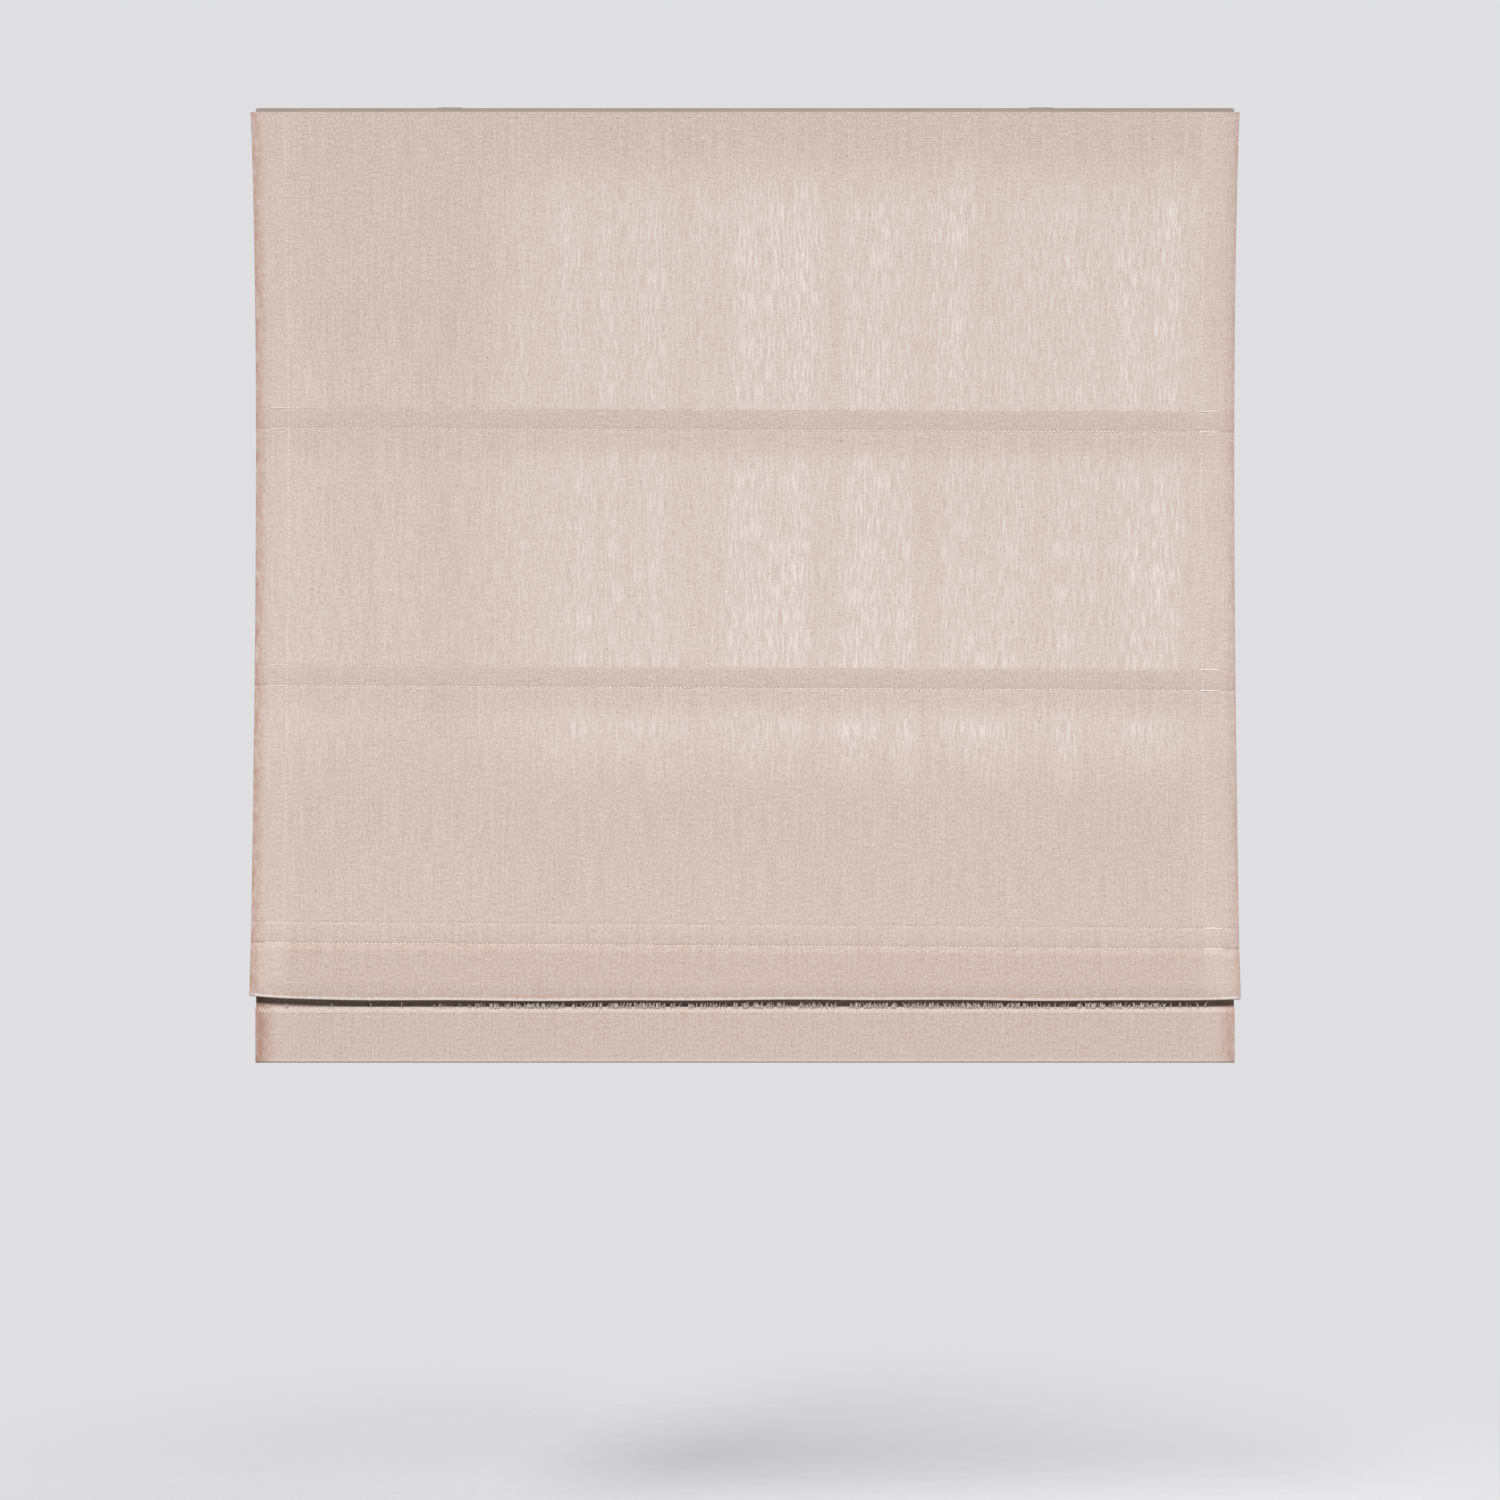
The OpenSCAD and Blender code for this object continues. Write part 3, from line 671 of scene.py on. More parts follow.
def linen_sheet(name, points, faces, weave, marks):
    """A sheet with its thickness, half to each side, from a grid of points, its map and its marks."""
    mesh = bpy.data.meshes.new(name)
    mesh.from_pydata(points.reshape(-1, 3).tolist(), [], faces.tolist())
    corner_map = weave.reshape(-1, 2)[faces.reshape(-1)].astype(np.float32)
    mesh.uv_layers.new(name="weave").data.foreach_set("uv", corner_map.reshape(-1))
    for mark, values in marks.items():
        attribute = mesh.attributes.new(mark, "FLOAT", "POINT")
        attribute.data.foreach_set("value", values.reshape(-1).astype(np.float32))
    mesh.materials.append(linen)
    piece = add_piece(name, mesh)
    bpy.ops.object.select_all(action="DESELECT")
    bpy.context.view_layer.objects.active = piece
    piece.select_set(True)
    solid = piece.modifiers.new("cloth", "SOLIDIFY")
    solid.thickness = CLOTH_T
    solid.offset = 0
    solid.use_even_offset = False
    bpy.ops.object.modifier_apply(modifier="cloth")
    bpy.ops.object.shade_smooth_by_angle(angle=math.radians(40))
    return piece


print("linen sheets", CLOTH_T, "m thick")

# %% Lay a strip of cloth along a line
ROW_GAPS = (-3.2, -1.8, -1, -0.5, 0, 0.5, 1, 1.8, 3.2)
LEAST_STEP = 0.3 * MM


def lay_cloth(name, line, half, columns, forward, lift, cloth_start, marks):
    """A sheet along a line of (y, z) points; forward and lift are functions of x and the row's z.
    marks are values for each row, or functions of x and z, named as the finish reads them."""
    y, z = line[:, 0], line[:, 1]
    run = np.gradient(line, axis=0)
    run = run / np.linalg.norm(run, axis=1)[:, None]
    out_y, out_z = -run[:, 1][:, None], run[:, 0][:, None]
    x = columns[:, 0] * half[:, None] + columns[:, 1]
    rows_z = np.broadcast_to(z[:, None], x.shape)
    layer = columns[:, 2] - forward(x, rows_z)
    points = np.stack([x, y[:, None] + layer * out_y, rows_z + layer * out_z + lift(x, rows_z)], axis=2)
    steps = np.linalg.norm(np.diff(line, axis=0), axis=1)
    length = cloth_start + np.concatenate([[0], np.cumsum(steps)])
    behind = columns[:, 2] > 1.05 * CLOTH_T
    across = np.where(behind, np.sign(columns[:, 0]) * 2 * half[:, None] - x, x)
    weave = np.stack([across, np.broadcast_to(-length[:, None], x.shape)], axis=2)

    def spread(values):
        return values(x, rows_z) if callable(values) else np.broadcast_to(values[:, None], x.shape)

    marked = {mark: spread(values) for mark, values in marks.items()}
    # Every sheet gets painted shade along its side edges.
    marked["edge"] = np.maximum(side_edge_shade(x, half[:, None], columns[:, 3]), marked.get("edge", 0))
    marked["doubled"] = doubled_tint(x, half[:, None])
    return linen_sheet(name, points, grid_faces(*x.shape), weave, marked), length[-1]


def dense_heights(top, foot, step):
    """Heights from top to foot, closer together at the sewn rows."""
    count = max(2, round((top - foot) / step))
    heights = list(np.linspace(top, foot, count + 1))
    heights += [row + gap * MM for row in sewn_rows for gap in ROW_GAPS]
    heights = sorted((h for h in heights if foot <= h <= top), reverse=True)
    kept = [top]
    for height in heights:
        if kept[-1] - height > LEAST_STEP and height - foot > LEAST_STEP:
            kept.append(height)
    return np.array([*kept, foot])


def upright(y, heights):
    """A line straight down or up."""
    return np.stack([np.full(len(heights), y), heights], axis=1)


print("rows of points near a sewn row:", len(ROW_GAPS))

# %% [markdown]
# ## The three hanging sections
# Each section runs from the stitch row of one pocket to that of the next. When the blind is raised, its
# lower end rises with its rod. One long piece couldn't follow three rods, so there are three, each blended
# between the two bodies above and below it.

# %% Cloth sections
SECTION_STEP = 4.5 * MM
BLEND_TOP = 30 * MM
BLEND_FOOT = 8 * MM
# Painted shade over each pocket band.
POCKET_SHADE = 0.6
WIDTH_CUT = 2 * (half_full + SIDE_HEM)
BODIES = ["head", "row_1", "row_2", "row_3"]
section_tops = [cloth_top, pocket_foot[0], pocket_foot[1]]
section_blends = []
sections = []
cloth_length = 0.0
for k in (1, 2, 3):
    heights = dense_heights(section_tops[k - 1], pocket_foot[k - 1], SECTION_STEP)
    line = upright(cloth_mid, heights)
    in_pocket = ((heights < pocket_top[k - 1]) & (heights > pocket_foot[k - 1])).astype(float)
    # The pocket band takes painted shade, and the open-weave mark adds the painted glow of light through the cloth.
    marks = {"backed": POCKET_SHADE * in_pocket, "open": open_weave_and_glow}
    piece, cloth_end = lay_cloth(
        f"cloth_section_{k}", line, half_width(heights), HEMMED, relief, sag, cloth_length, marks
    )
    flat = (WIDTH_CUT, cloth_end - cloth_length)
    cloth_length = cloth_end
    start, end = section_tops[k - 1] - BLEND_TOP, pocket_top[k - 1] + BLEND_FOOT
    section_blends.append((BODIES[k - 1], BODIES[k], (0, 0, start), (0, 0, end)))
    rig.blend(piece, *section_blends[-1])
    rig.replaces(piece, f"cloth_panel_{k}", f"rod_pocket_{k}")
    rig.slot(piece, "linen")
    sections.append((piece, flat))
    print(piece.name, len(piece.data.polygons), "faces, cut", [round(v, 3) for v in flat])

# %% [markdown]
# ## Rod pockets
# A pocket is a strip of the same linen, sewn behind the cloth along two rows and open at its ends, so the
# rod can be slid in. Its back bulges over the rod, its margins lie flat beyond the stitches, and its ends
# lie over the side hems. An extruded profile couldn't step over the hems, so it is a grid of points too.

# %% Pocket tapes
TAPE_MARGIN = 2 * MM
TAPE_INSET = 16 * MM
TAPE_CUT = 27.6 * MM
HEM_CLEAR = 5 * MM
HEM_RAMP = 4 * MM
BULGE_SLOPE = 1.28
for k in (1, 2, 3):
    half = half_width(np.array(rod_z[k - 1])) - TAPE_INSET
    xs = np.linspace(-half, half, 241)
    hem_start = half + TAPE_INSET - SIDE_HEM - HEM_CLEAR
    over_hem = 2 * CLOTH_T * rise(np.abs(xs), hem_start, HEM_RAMP)
    bulge = pocket_boxes[k - 1][1].y - CLOTH_T / 2 - (cloth_mid + CLOTH_T)
    points = []
    for share in np.linspace(-1, 1, 25):
        edge = pocket_top[k - 1] + TAPE_MARGIN if share > 0 else pocket_foot[k - 1] - TAPE_MARGIN
        reach = edge + sag(xs, rod_z[k - 1])
        z = rod_z[k - 1] + abs(share) * (reach - rod_z[k - 1])
        inside = np.clip(abs(share) * BULGE_SLOPE, 0, 1)
        back = cloth_mid + CLOTH_T + over_hem + (bulge - over_hem) * np.cos(inside * np.pi / 2) ** 2
        points.append(np.stack([xs, back, z], axis=1))
    points = np.array(points)
    faces = grid_faces(*points.shape[:2])[:, ::-1]
    plain_edge = {"edge": np.zeros(points.shape[:2])}
    tape = linen_sheet(f"pocket_tape_{k}", points, faces, points[:, :, [0, 2]], plain_edge)
    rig.ride(tape, f"row_{k}")
    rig.slot(tape, "linen")
    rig.sheet(tape, flat=(2 * float(half), TAPE_CUT), held="stretched", rests_on=[f"rod_{k}"])
    print(tape.name, len(tape.data.polygons), "faces")

# %% [markdown]
# ## The pressed fold
# Below the third rod the cloth leans forward to a crease, goes back up behind itself and over to the bottom
# strip. The front layer stays with the third rod. The crease, the back layer and the turn to the strip open
# as the bar is pulled down, so that part is a second piece, blended to the bar.

# %% Lines of the fold
CREASE_R = 1.0 * MM
CREASE_STEPS = 10
BACK_TURN_R = 2 * MM
SEAM_STEP = 0.8 * MM
FORWARD_LEAN = 4.2 * MM
FOOT_BACK = 1.0 * MM
front_y = cloth_mid - (SEAM_STEP + FORWARD_LEAN - FOOT_BACK)
strip_y = strip_high.y - CLOTH_T / 2
crease = np.array([front_y + CREASE_R, fold_low.z + CREASE_R + CLOTH_T / 2])
turn = np.array([strip_y - BACK_TURN_R, strip_high.z])


def leaning(begin, end, count):
    """A layer that leans from one plane to another, upright at both."""
    share = np.linspace(0, 1, count + 1)
    y = begin[0] + (end[0] - begin[0]) * smooth(share)
    return np.stack([y, begin[1] + (end[1] - begin[1]) * share], axis=1)


def bellied(begin, end, count):
    """The front layer: a small step below its stitch row, a lean forward, back a little at the foot."""
    share = np.linspace(0, 1, count + 1)
    forward = SEAM_STEP * rise(share, 0, 0.14) + FORWARD_LEAN * share - FOOT_BACK * rise(share, 0.7, 0.3)
    return np.stack([begin[0] - forward, begin[1] + (end[1] - begin[1]) * share], axis=1)


def turned(centre, radius, first, last, count):
    """An arc round a centre, between two angles in degrees."""
    angle = np.radians(np.linspace(first, last, count + 1))
    return np.stack([centre[0] + radius * np.cos(angle), centre[1] + radius * np.sin(angle)], axis=1)


front_line = bellied((cloth_mid, pocket_foot[2]), (front_y, crease[1]), 44)
back_line = np.concatenate([
    turned(crease, CREASE_R, 180, 360, CREASE_STEPS),
    leaning((crease[0] + CREASE_R, crease[1]), (turn[0] - BACK_TURN_R, turn[1]), 16)[1:],
    turned(turn, BACK_TURN_R, 180, 0, 12)[1:],
])
print("fold lines:", len(front_line), len(back_line))


# %% Shape and marks of the fold
def foot_wave(x):
    """The crease isn't quite straight: it lifts at its ends, most at the left, and wanders along the way."""
    lift = 4.2 * MM * np.exp(-(x + half_full) / 0.03) + 1.3 * MM * np.exp(-(half_full - x) / 0.06)
    return lift + 0.5 * MM * np.sin(11 * x + 0.6) + 0.3 * MM * np.sin(37 * x) - 0.4 * MM


def front_lift(x, z):
    share = rise(pocket_foot[2] - z, 0, pocket_foot[2] - crease[1])
    return sag(x, np.full_like(x, pocket_foot[2])) * (1 - share) + foot_wave(x) * share


def back_lift(x, z):
    return foot_wave(x) * fall(z, crease[1], turn[1] - crease[1])


def fold_relief(x, z):
    """The cloth's own relief, halved below the seam and gone at the crease."""
    near_seam = rise(z, pocket_foot[2] - 12 * MM, 12 * MM)
    return relief(x, z) * rise(z, crease[1], 20 * MM) * (0.5 + 0.5 * near_seam)


def flat_relief(x, z):
    return np.zeros_like(x)


def fold_shade(x, z):
    """Painted shade on the fold, for the light that the layers behind it stop; less where its own side hems lie."""
    return 2.8 - 1.4 * fall(half_full - np.abs(x), 28 * MM, 12 * MM)


print("crease lifts at its left end by", round(float(foot_wave(-half_full)), 4))

# %% Fold of cloth
front_z = front_line[:, 1]
back_rows = np.arange(len(back_line))
# Along the fold: a painted highlight on the crease, a rosier painted shade just above it, and painted shade over the
# whole front layer.
fold_marks = {
    "worn": fall(front_z, crease[1] + 1.0 * MM, 1.2 * MM),
    "edge": 0.45 * fall(front_z, crease[1], 9 * MM),
    "backed": fold_shade,
}
front_half = np.interp(front_z, [crease[1], pocket_foot[2]], [half_full, half_width(pocket_foot[2])])
fold_front, front_end = lay_cloth(
    "bottom_fold_front", front_line, front_half, HEMMED, fold_relief, front_lift, cloth_length, fold_marks
)
back_half = np.interp(back_rows, [CREASE_STEPS, len(back_line) - 1], [half_full, strip_high.x])
# The painted highlight carries on round the underside of the crease.
back_marks = {"worn": fall(back_rows, 0, 3)}
fold_back, back_end = lay_cloth(
    "bottom_fold_back", back_line, back_half, HEMMED, flat_relief, back_lift, front_end, back_marks
)
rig.ride(fold_front, "row_3")
reach = 0.5 * ((strip_y - front_y) + (turn[1] - crease[1]))
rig.blend(
    fold_back, "row_3", "hem", (0, front_y, crease[1]), (0, front_y + reach, crease[1] + reach)
)
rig.replaces(fold_front, "cloth_bottom_fold")
for piece in (fold_front, fold_back):
    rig.slot(piece, "linen")
print("fold cut", round(front_end - cloth_length, 4), "+", round(back_end - front_end, 4))

# %% [markdown]
# ## The bottom strip
# The strip hangs behind the fold and shows below it. Its foot is turned up to the front round the weight
# bar, and the raw edge of that hem leans back over the bar, where an overlock row catches it. Its sides are
# cut, so its columns have no hems.

# %% Bottom strip
HEM_START = 6 * MM
HEM_RISE = 51 * MM
HEM_EDGE = 56.6 * MM
HEM_LEAN = 1.2 * MM
# Strength of the painted highlight on the strip's foot turn.
FOOT_HIGHLIGHT = 0.3
hem_front = strip_low.y + CLOTH_T / 2
hem_r = (strip_y - hem_front) / 2
hem_top = strip_low.z + HEM_EDGE
hem_bend = strip_low.z + HEM_RISE
turn_z = strip_low.z + hem_r + CLOTH_T / 2
strip_line = np.concatenate([
    upright(strip_y, np.linspace(strip_high.z, turn_z, 19)),
    turned((strip_y - hem_r, turn_z), hem_r, 0, -180, 10)[1:],
    upright(hem_front, np.linspace(strip_low.z + HEM_START, hem_bend, 9)),
    leaning((hem_front, hem_bend), (hem_front + HEM_LEAN, hem_top), 6)[1:],
])


def strip_side_shade(x, z):
    """Painted shade on the cut sides of the strip, darker than on the turned ones above."""
    return by_side(x, 1.45, 0.8) * fall(strip_high.x - np.abs(x), 0, by_side(x, 23 * MM, 22 * MM))


def strip_bar_shade(x, z):
    """Painted shade on the strip, for the light that the bar behind it stops, most of all at its ends."""
    return 2.0 + by_side(x, 3.0, 0.5) * fall(strip_high.x - np.abs(x), 0, 15 * MM)


strip_half = np.full(len(strip_line), strip_high.x)
# On the strip: a painted highlight on the foot turn, painted shade on the cut sides and over the bar.
foot_turn = np.abs(strip_line[:, 1] - strip_low.z) < 2.5 * MM
strip_marks = {"edge": strip_side_shade, "backed": strip_bar_shade, "worn": FOOT_HIGHLIGHT * foot_turn}
strip, strip_end = lay_cloth(
    "bottom_strip", strip_line, strip_half, PLAIN, flat_relief, flat_relief, back_end, strip_marks
)
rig.ride(strip, "hem")
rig.replaces(strip, "bottom_hem")
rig.slot(strip, "linen")
print("strip cut", round(strip_end - back_end, 4))

# %% [markdown]
# ## Stitches
# One stitch is a short round of thread, sunk a little at both ends. A texture would lie flat, so the stitch
# is modelled once and its mesh is repeated along each row, a few dozen faces at a time. Uneven lengths and
# tilts keep a row from looking printed.

# %% One stitch
bpy.ops.object.select_all(action="DESELECT")
bpy.ops.mesh.primitive_uv_sphere_add(segments=6, ring_count=5, radius=0.5)
stitch_form = bpy.context.object
bpy.ops.object.mode_set(mode="EDIT")
bpy.ops.mesh.select_all(action="SELECT")
bpy.ops.transform.rotate(value=math.pi / 2, orient_axis="Y", center_override=(0, 0, 0))
bpy.ops.object.mode_set(mode="OBJECT")
form_points = np.array([v.co for v in stitch_form.data.vertices])
form_points[:, 0] = np.sign(form_points[:, 0]) * np.abs(form_points[:, 0] * 2) ** 0.8 / 2
form_faces = [tuple(p.vertices) for p in stitch_form.data.polygons]
bpy.data.objects.remove(stitch_form)
print("stitch:", len(form_faces), "faces")


# %% Sewing with it
def sew(name, stitches, depth=0.6, thread=sewing_thread):
    """One mesh of many stitches, each from a centre, a direction, a length and a thickness.
    A drawn-in thread is flatter than it is wide, and depth is its share of the width."""
    points, faces = [], []
    for centre, direction, length, thickness in stitches:
        along = np.array(direction) / np.linalg.norm(direction)
        outward = (0, 0, 1) if abs(along[1]) > 0.9 else (0, -1, 0)
        side = np.cross(along, outward)
        side = side / np.linalg.norm(side)
        axes = np.stack([along * length, side * thickness, np.cross(along, side) * thickness * depth])
        faces += [tuple(i + len(points) * len(form_points) for i in face) for face in form_faces]
        points.append(form_points @ axes + np.array(centre))
    mesh = bpy.data.meshes.new(name)
    mesh.from_pydata(np.concatenate(points).tolist(), [], faces)
    mesh.materials.append(thread)
    mesh.shade_smooth()
    mesh.validate()
    return add_piece(name, mesh)


def uneven(draw, length, thickness):
    return length * draw.uniform(0.85, 1.1), thickness * draw.uniform(0.8, 1.15)


def level_row(draw, row_z, span, stitch, layer, surface_point):
    """Stitches along a level row; span is its two ends, stitch its pitch, length and thickness."""
    stitches = []
    x, x_to = span
    pitch, length, thickness = stitch
    while x < x_to:
        tilt = (1, 0, draw.uniform(-0.09, 0.09))
        centre = surface_point(x, row_z + draw.gauss(0, 0.12) * MM, layer)
        stitches.append((centre, tilt, *uneven(draw, length, thickness)))
        x += pitch * draw.uniform(0.92, 1.08)
    return stitches


def cloth_point(x, z, layer):
    """A point of the hanging cloth; layer is how far it lies behind the middle of the sheet."""
    x, z = np.array(float(x)), np.array(float(z))
    return (float(x), float(cloth_mid + layer - relief(x, z)), float(z + sag(x, z)))


def tape_point(x, z, layer):
    """A point of a pocket tape, which lies flat along its stitches."""
    return (x, cloth_mid + layer, z + float(sag(np.array(x), np.array(z))))


print("sewing ready")

# %% Level rows at the head and the pockets
PITCH = 4.2 * MM
STITCH = 2.6 * MM
BOLD_STITCH = (PITCH, STITCH, 1.15 * MM)
FINE_STITCH = (PITCH, STITCH, 0.7 * MM)
ROW_START = 16 * MM
TACK = 18 * MM
TAPE_END = 6 * MM
ROW_FRONT = -(CLOTH_T / 2 + 0.25 * MM)
TAPE_BACK = 1.5 * CLOTH_T + 0.1 * MM
thread_draw = random.Random(5)
row_threads = {k: [] for k in range(4)}
for row in top_rows:
    half = float(half_width(np.array(row))) - ROW_START
    row_threads[0] += level_row(thread_draw, row, (-half, half), FINE_STITCH, ROW_FRONT, cloth_point)
for k in (1, 2, 3):
    half = float(half_width(np.array(rod_z[k - 1]))) - ROW_START
    for row, stitch in ((pocket_top[k - 1], FINE_STITCH), (pocket_foot[k - 1], BOLD_STITCH)):
        row_threads[k] += level_row(thread_draw, row, (-half, half), stitch, ROW_FRONT, cloth_point)
        for side in (-1, 1):
            span = sorted((side * (half - TACK), side * half))
            tack_stitch = (1.3 * MM, 2.4 * MM, (1.0 + 0.3 * side) * MM)
            row_threads[k] += level_row(thread_draw, row, span, tack_stitch, ROW_FRONT, cloth_point)
        inner = half + ROW_START - SIDE_HEM - TAPE_END
        row_threads[k] += level_row(thread_draw, row, (-inner, inner), BOLD_STITCH, TAPE_BACK, tape_point)
row_pieces = {}
for k in range(4):
    row_pieces[k] = sew(f"sewn_rows_{k}", row_threads[k])
    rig.ride(row_pieces[k], BODIES[k])
    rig.slot(row_pieces[k], "linen")
    print(row_pieces[k].name, len(row_threads[k]), "stitches")

# %% [markdown]
# ## Side hem stitches
# A row of short stitches holds each turned side hem near its inner edge and shows on both sides. It has to
# follow what it is sewn to, so one function for each surface gives the point at a height: the hanging
# cloth, the fold or the strip.

# %% Rows down the side hems
HEM_STITCH = 33 * MM
SIDE_THREAD = 0.8 * MM
SUNK_THREAD = 0.55 * MM
SIDE_FRONT = -(CLOTH_T / 2 + 0.05 * MM)
HEM_BACK = 2.5 * CLOTH_T + 0.05 * MM


def upright_row(draw, side, top, foot, layer, surface_point, thread=SIDE_THREAD):
    """Stitches down one side hem, on the surface that surface_point gives."""
    stitches = []
    z = top
    while z > foot:
        half = min(float(half_width(np.array(z))), half_full) if z > fold_low.z else strip_high.x
        x = side * (half - HEM_STITCH) + draw.gauss(0, 0.15) * MM
        lean = (draw.uniform(-0.06, 0.06), 0, 1)
        stitches.append((surface_point(x, z, layer), lean, *uneven(draw, STITCH, thread)))
        z -= PITCH * draw.uniform(0.94, 1.06)
    return stitches


def fold_point(x, z, layer):
    """A point of the fold's front layer."""
    x, z = np.array(float(x)), np.array(float(z))
    y = np.interp(-z, -front_line[:, 1], front_line[:, 0]) + layer - fold_relief(x, z)
    return (float(x), float(y), float(z + front_lift(x, z)))


def strip_point(x, z, layer):
    """A point of the bottom strip: its turned-up front, or its back where the layer is behind the sheet."""
    return (x, (hem_front if layer < 0 else strip_y) + layer, z)


side_pieces = {}
for k in (1, 2, 3):
    stitches = []
    top, foot, back_foot = section_tops[k - 1] - 2 * MM, pocket_foot[k - 1], pocket_top[k - 1] + 3 * MM
    for side in (-1, 1):
        stitches += upright_row(thread_draw, side, top, foot, SIDE_FRONT, cloth_point)
        stitches += upright_row(thread_draw, side, top, back_foot, HEM_BACK, cloth_point)
    side_pieces[k] = sew(f"side_hem_stitches_{k}", stitches)
    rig.blend(side_pieces[k], *section_blends[k - 1])
    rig.slot(side_pieces[k], "linen")
print("hanging side hems sewn:", len(side_pieces))

# %% Rows down the fold and the strip
back_top = strip_high.z - 8 * MM
side_runs = {
    "side_hem_stitches_4": ("row_3", pocket_foot[2] - 3 * MM, crease[1] + 2 * MM, fold_point),
    "side_hem_stitches_5": ("hem", hem_top - 9 * MM, strip_low.z + 4 * MM, strip_point),
}
for name, (body, top, foot, surface_point) in side_runs.items():
    stitches = []
    for side in (-1, 1):
        stitches += upright_row(thread_draw, side, top, foot, SIDE_FRONT, surface_point, SUNK_THREAD)
        if body == "hem":
            stitches += upright_row(thread_draw, side, back_top, foot, -SIDE_FRONT, surface_point)
    side_pieces[name] = sew(name, stitches, thread=linen_yarn)
    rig.ride(side_pieces[name], body)
    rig.slot(side_pieces[name], "linen")
for k in (1, 2, 3):
    piece, flat = sections[k - 1]
    upper = ["loop_tape"] if k == 1 else [sections[k - 2][0].name]
    sewn_on = [side_pieces[k], row_pieces[k]] + ([row_pieces[0]] if k == 1 else [])
    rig.sheet(piece, flat=flat, held="hung", rests_on=upper, with_pieces=sewn_on)
print("side hems sewn:", len(side_pieces))

# %% [markdown]
# ## Raw edge of the bottom hem
# The cut edge of the turned-up hem is overlocked with a zigzag of pale yarn, and loose fibres stand up from
# it and lean forward, in tufts and mostly away from the ends. Hair could do it, but a hair system isn't a
# mesh, and the stitch of the rows above already has the right form.

# %% Overlock row
LOOP_PITCH = 1.8 * MM
LOOP_LENGTH = 8 * MM
LOOP_THREAD = 0.75 * MM
LOOP_DROP = 3.8 * MM
OVERLOCK_INSET = 4 * MM
edge_draw = random.Random(21)
overlock = []
x = -strip_high.x + OVERLOCK_INSET
slant = 0.55
while x < strip_high.x - OVERLOCK_INSET:
    tilt = (slant + edge_draw.gauss(0, 0.12), 0.2, 1)
    centre = (x, hem_front - 0.05 * MM, hem_top - LOOP_DROP + edge_draw.gauss(0, 0.3) * MM)
    overlock.append((centre, tilt, LOOP_LENGTH * edge_draw.uniform(0.8, 1.1), LOOP_THREAD))
    x += LOOP_PITCH * edge_draw.uniform(0.7, 1.3)
    slant = -slant
overlock_piece = sew("overlock_row", overlock, thread=linen_yarn)
print("overlock:", len(overlock), "loops")

# %% Loose fibres
FIBRES = 700
FIBRE_INSET = 6 * MM
fibres = []
while len(fibres) < FIBRES:
    x = edge_draw.uniform(-1, 1) * (strip_high.x - FIBRE_INSET)
    frayed = rise(x, -330 * MM, 70 * MM) * fall(x, 420 * MM, 50 * MM)
    tufts = 0.55 + 0.45 * math.sin(31 * x + 1.1) * math.sin(83 * x + 0.4)
    if edge_draw.random() > 0.03 + 0.97 * frayed * tufts:
        continue
    lean = (edge_draw.gauss(0, 0.3), edge_draw.uniform(-0.5, -0.05), 1)
    length = edge_draw.uniform(3.5, 8) * MM
    centre = (x, hem_front + 0.4 * MM - 0.2 * length, hem_top - 1.4 * MM + 0.45 * length)
    fibres.append((centre, lean, length, edge_draw.uniform(0.4, 0.75) * MM))
fibre_piece = sew("loose_fibres", fibres, depth=1.0, thread=linen_yarn)
for piece in (overlock_piece, fibre_piece):
    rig.ride(piece, "hem")
    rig.slot(piece, "linen")
print("fibres:", len(fibres))

# %% What the fold and the strip are cut from
front_flat = (WIDTH_CUT, front_end - cloth_length)
back_flat = (WIDTH_CUT, back_end - front_end)
strip_flat = (2 * strip_high.x, strip_end - back_end)
fold_rests = [sections[2][0].name]
fold_stitches = [side_pieces["side_hem_stitches_4"]]
strip_threads = [overlock_piece, fibre_piece, side_pieces["side_hem_stitches_5"]]
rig.sheet(fold_front, flat=front_flat, held="folded", rests_on=fold_rests, with_pieces=fold_stitches)
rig.sheet(fold_back, flat=back_flat, held="folded", rests_on=["bottom_fold_front"])
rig.sheet(strip, flat=strip_flat, held="hung", rests_on=["bottom_fold_back"], with_pieces=strip_threads)
print("cut lengths", [round(float(v[1]), 4) for v in (front_flat, back_flat, strip_flat)])

# %% [markdown]
# ## Ring threads
# Every ring is tied on by hand with a few turns of thread: over the wire, down its inner side and back under
# it into the cloth. One turn is three stitches of the same form, and the turns lie side by side.

# %% Threads round the rings
RING_THREAD = 0.6 * MM
RING_TURNS = 5
RING_R = 6 * MM
TURN_PITCH = 0.62 * MM
ring_bodies = {f"cord_rings_{k}": f"row_{k}" for k in (1, 2, 3)}
ring_bodies["tie_rings"] = "hem"
for rings, body in ring_bodies.items():
    low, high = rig.box(rings)
    wire = high.z - low.z
    middle = (low.z + high.z) / 2
    inner, outer = low.y + wire + 0.25 * MM, low.y - 0.7 * MM
    turns = []
    for ring_x in (low.x + RING_R, (low.x + high.x) / 2, high.x - RING_R):
        for step in range(RING_TURNS):
            x = ring_x + (step - (RING_TURNS - 1) / 2) * TURN_PITCH
            for edge in (low.z - 0.2 * MM, high.z + 0.2 * MM):
                turns.append(((x, (inner + outer) / 2, edge), (0, 1, 0), inner - outer, RING_THREAD))
            turns.append(((x, inner, middle), (0, 0, 1), wire + 0.9 * MM, RING_THREAD))
    ring_thread = sew(rings.replace("rings", "ring_thread"), turns, depth=1.0)
    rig.ride(ring_thread, body)
    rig.slot(ring_thread, "linen")
    print(ring_thread.name, len(turns), "stitches")

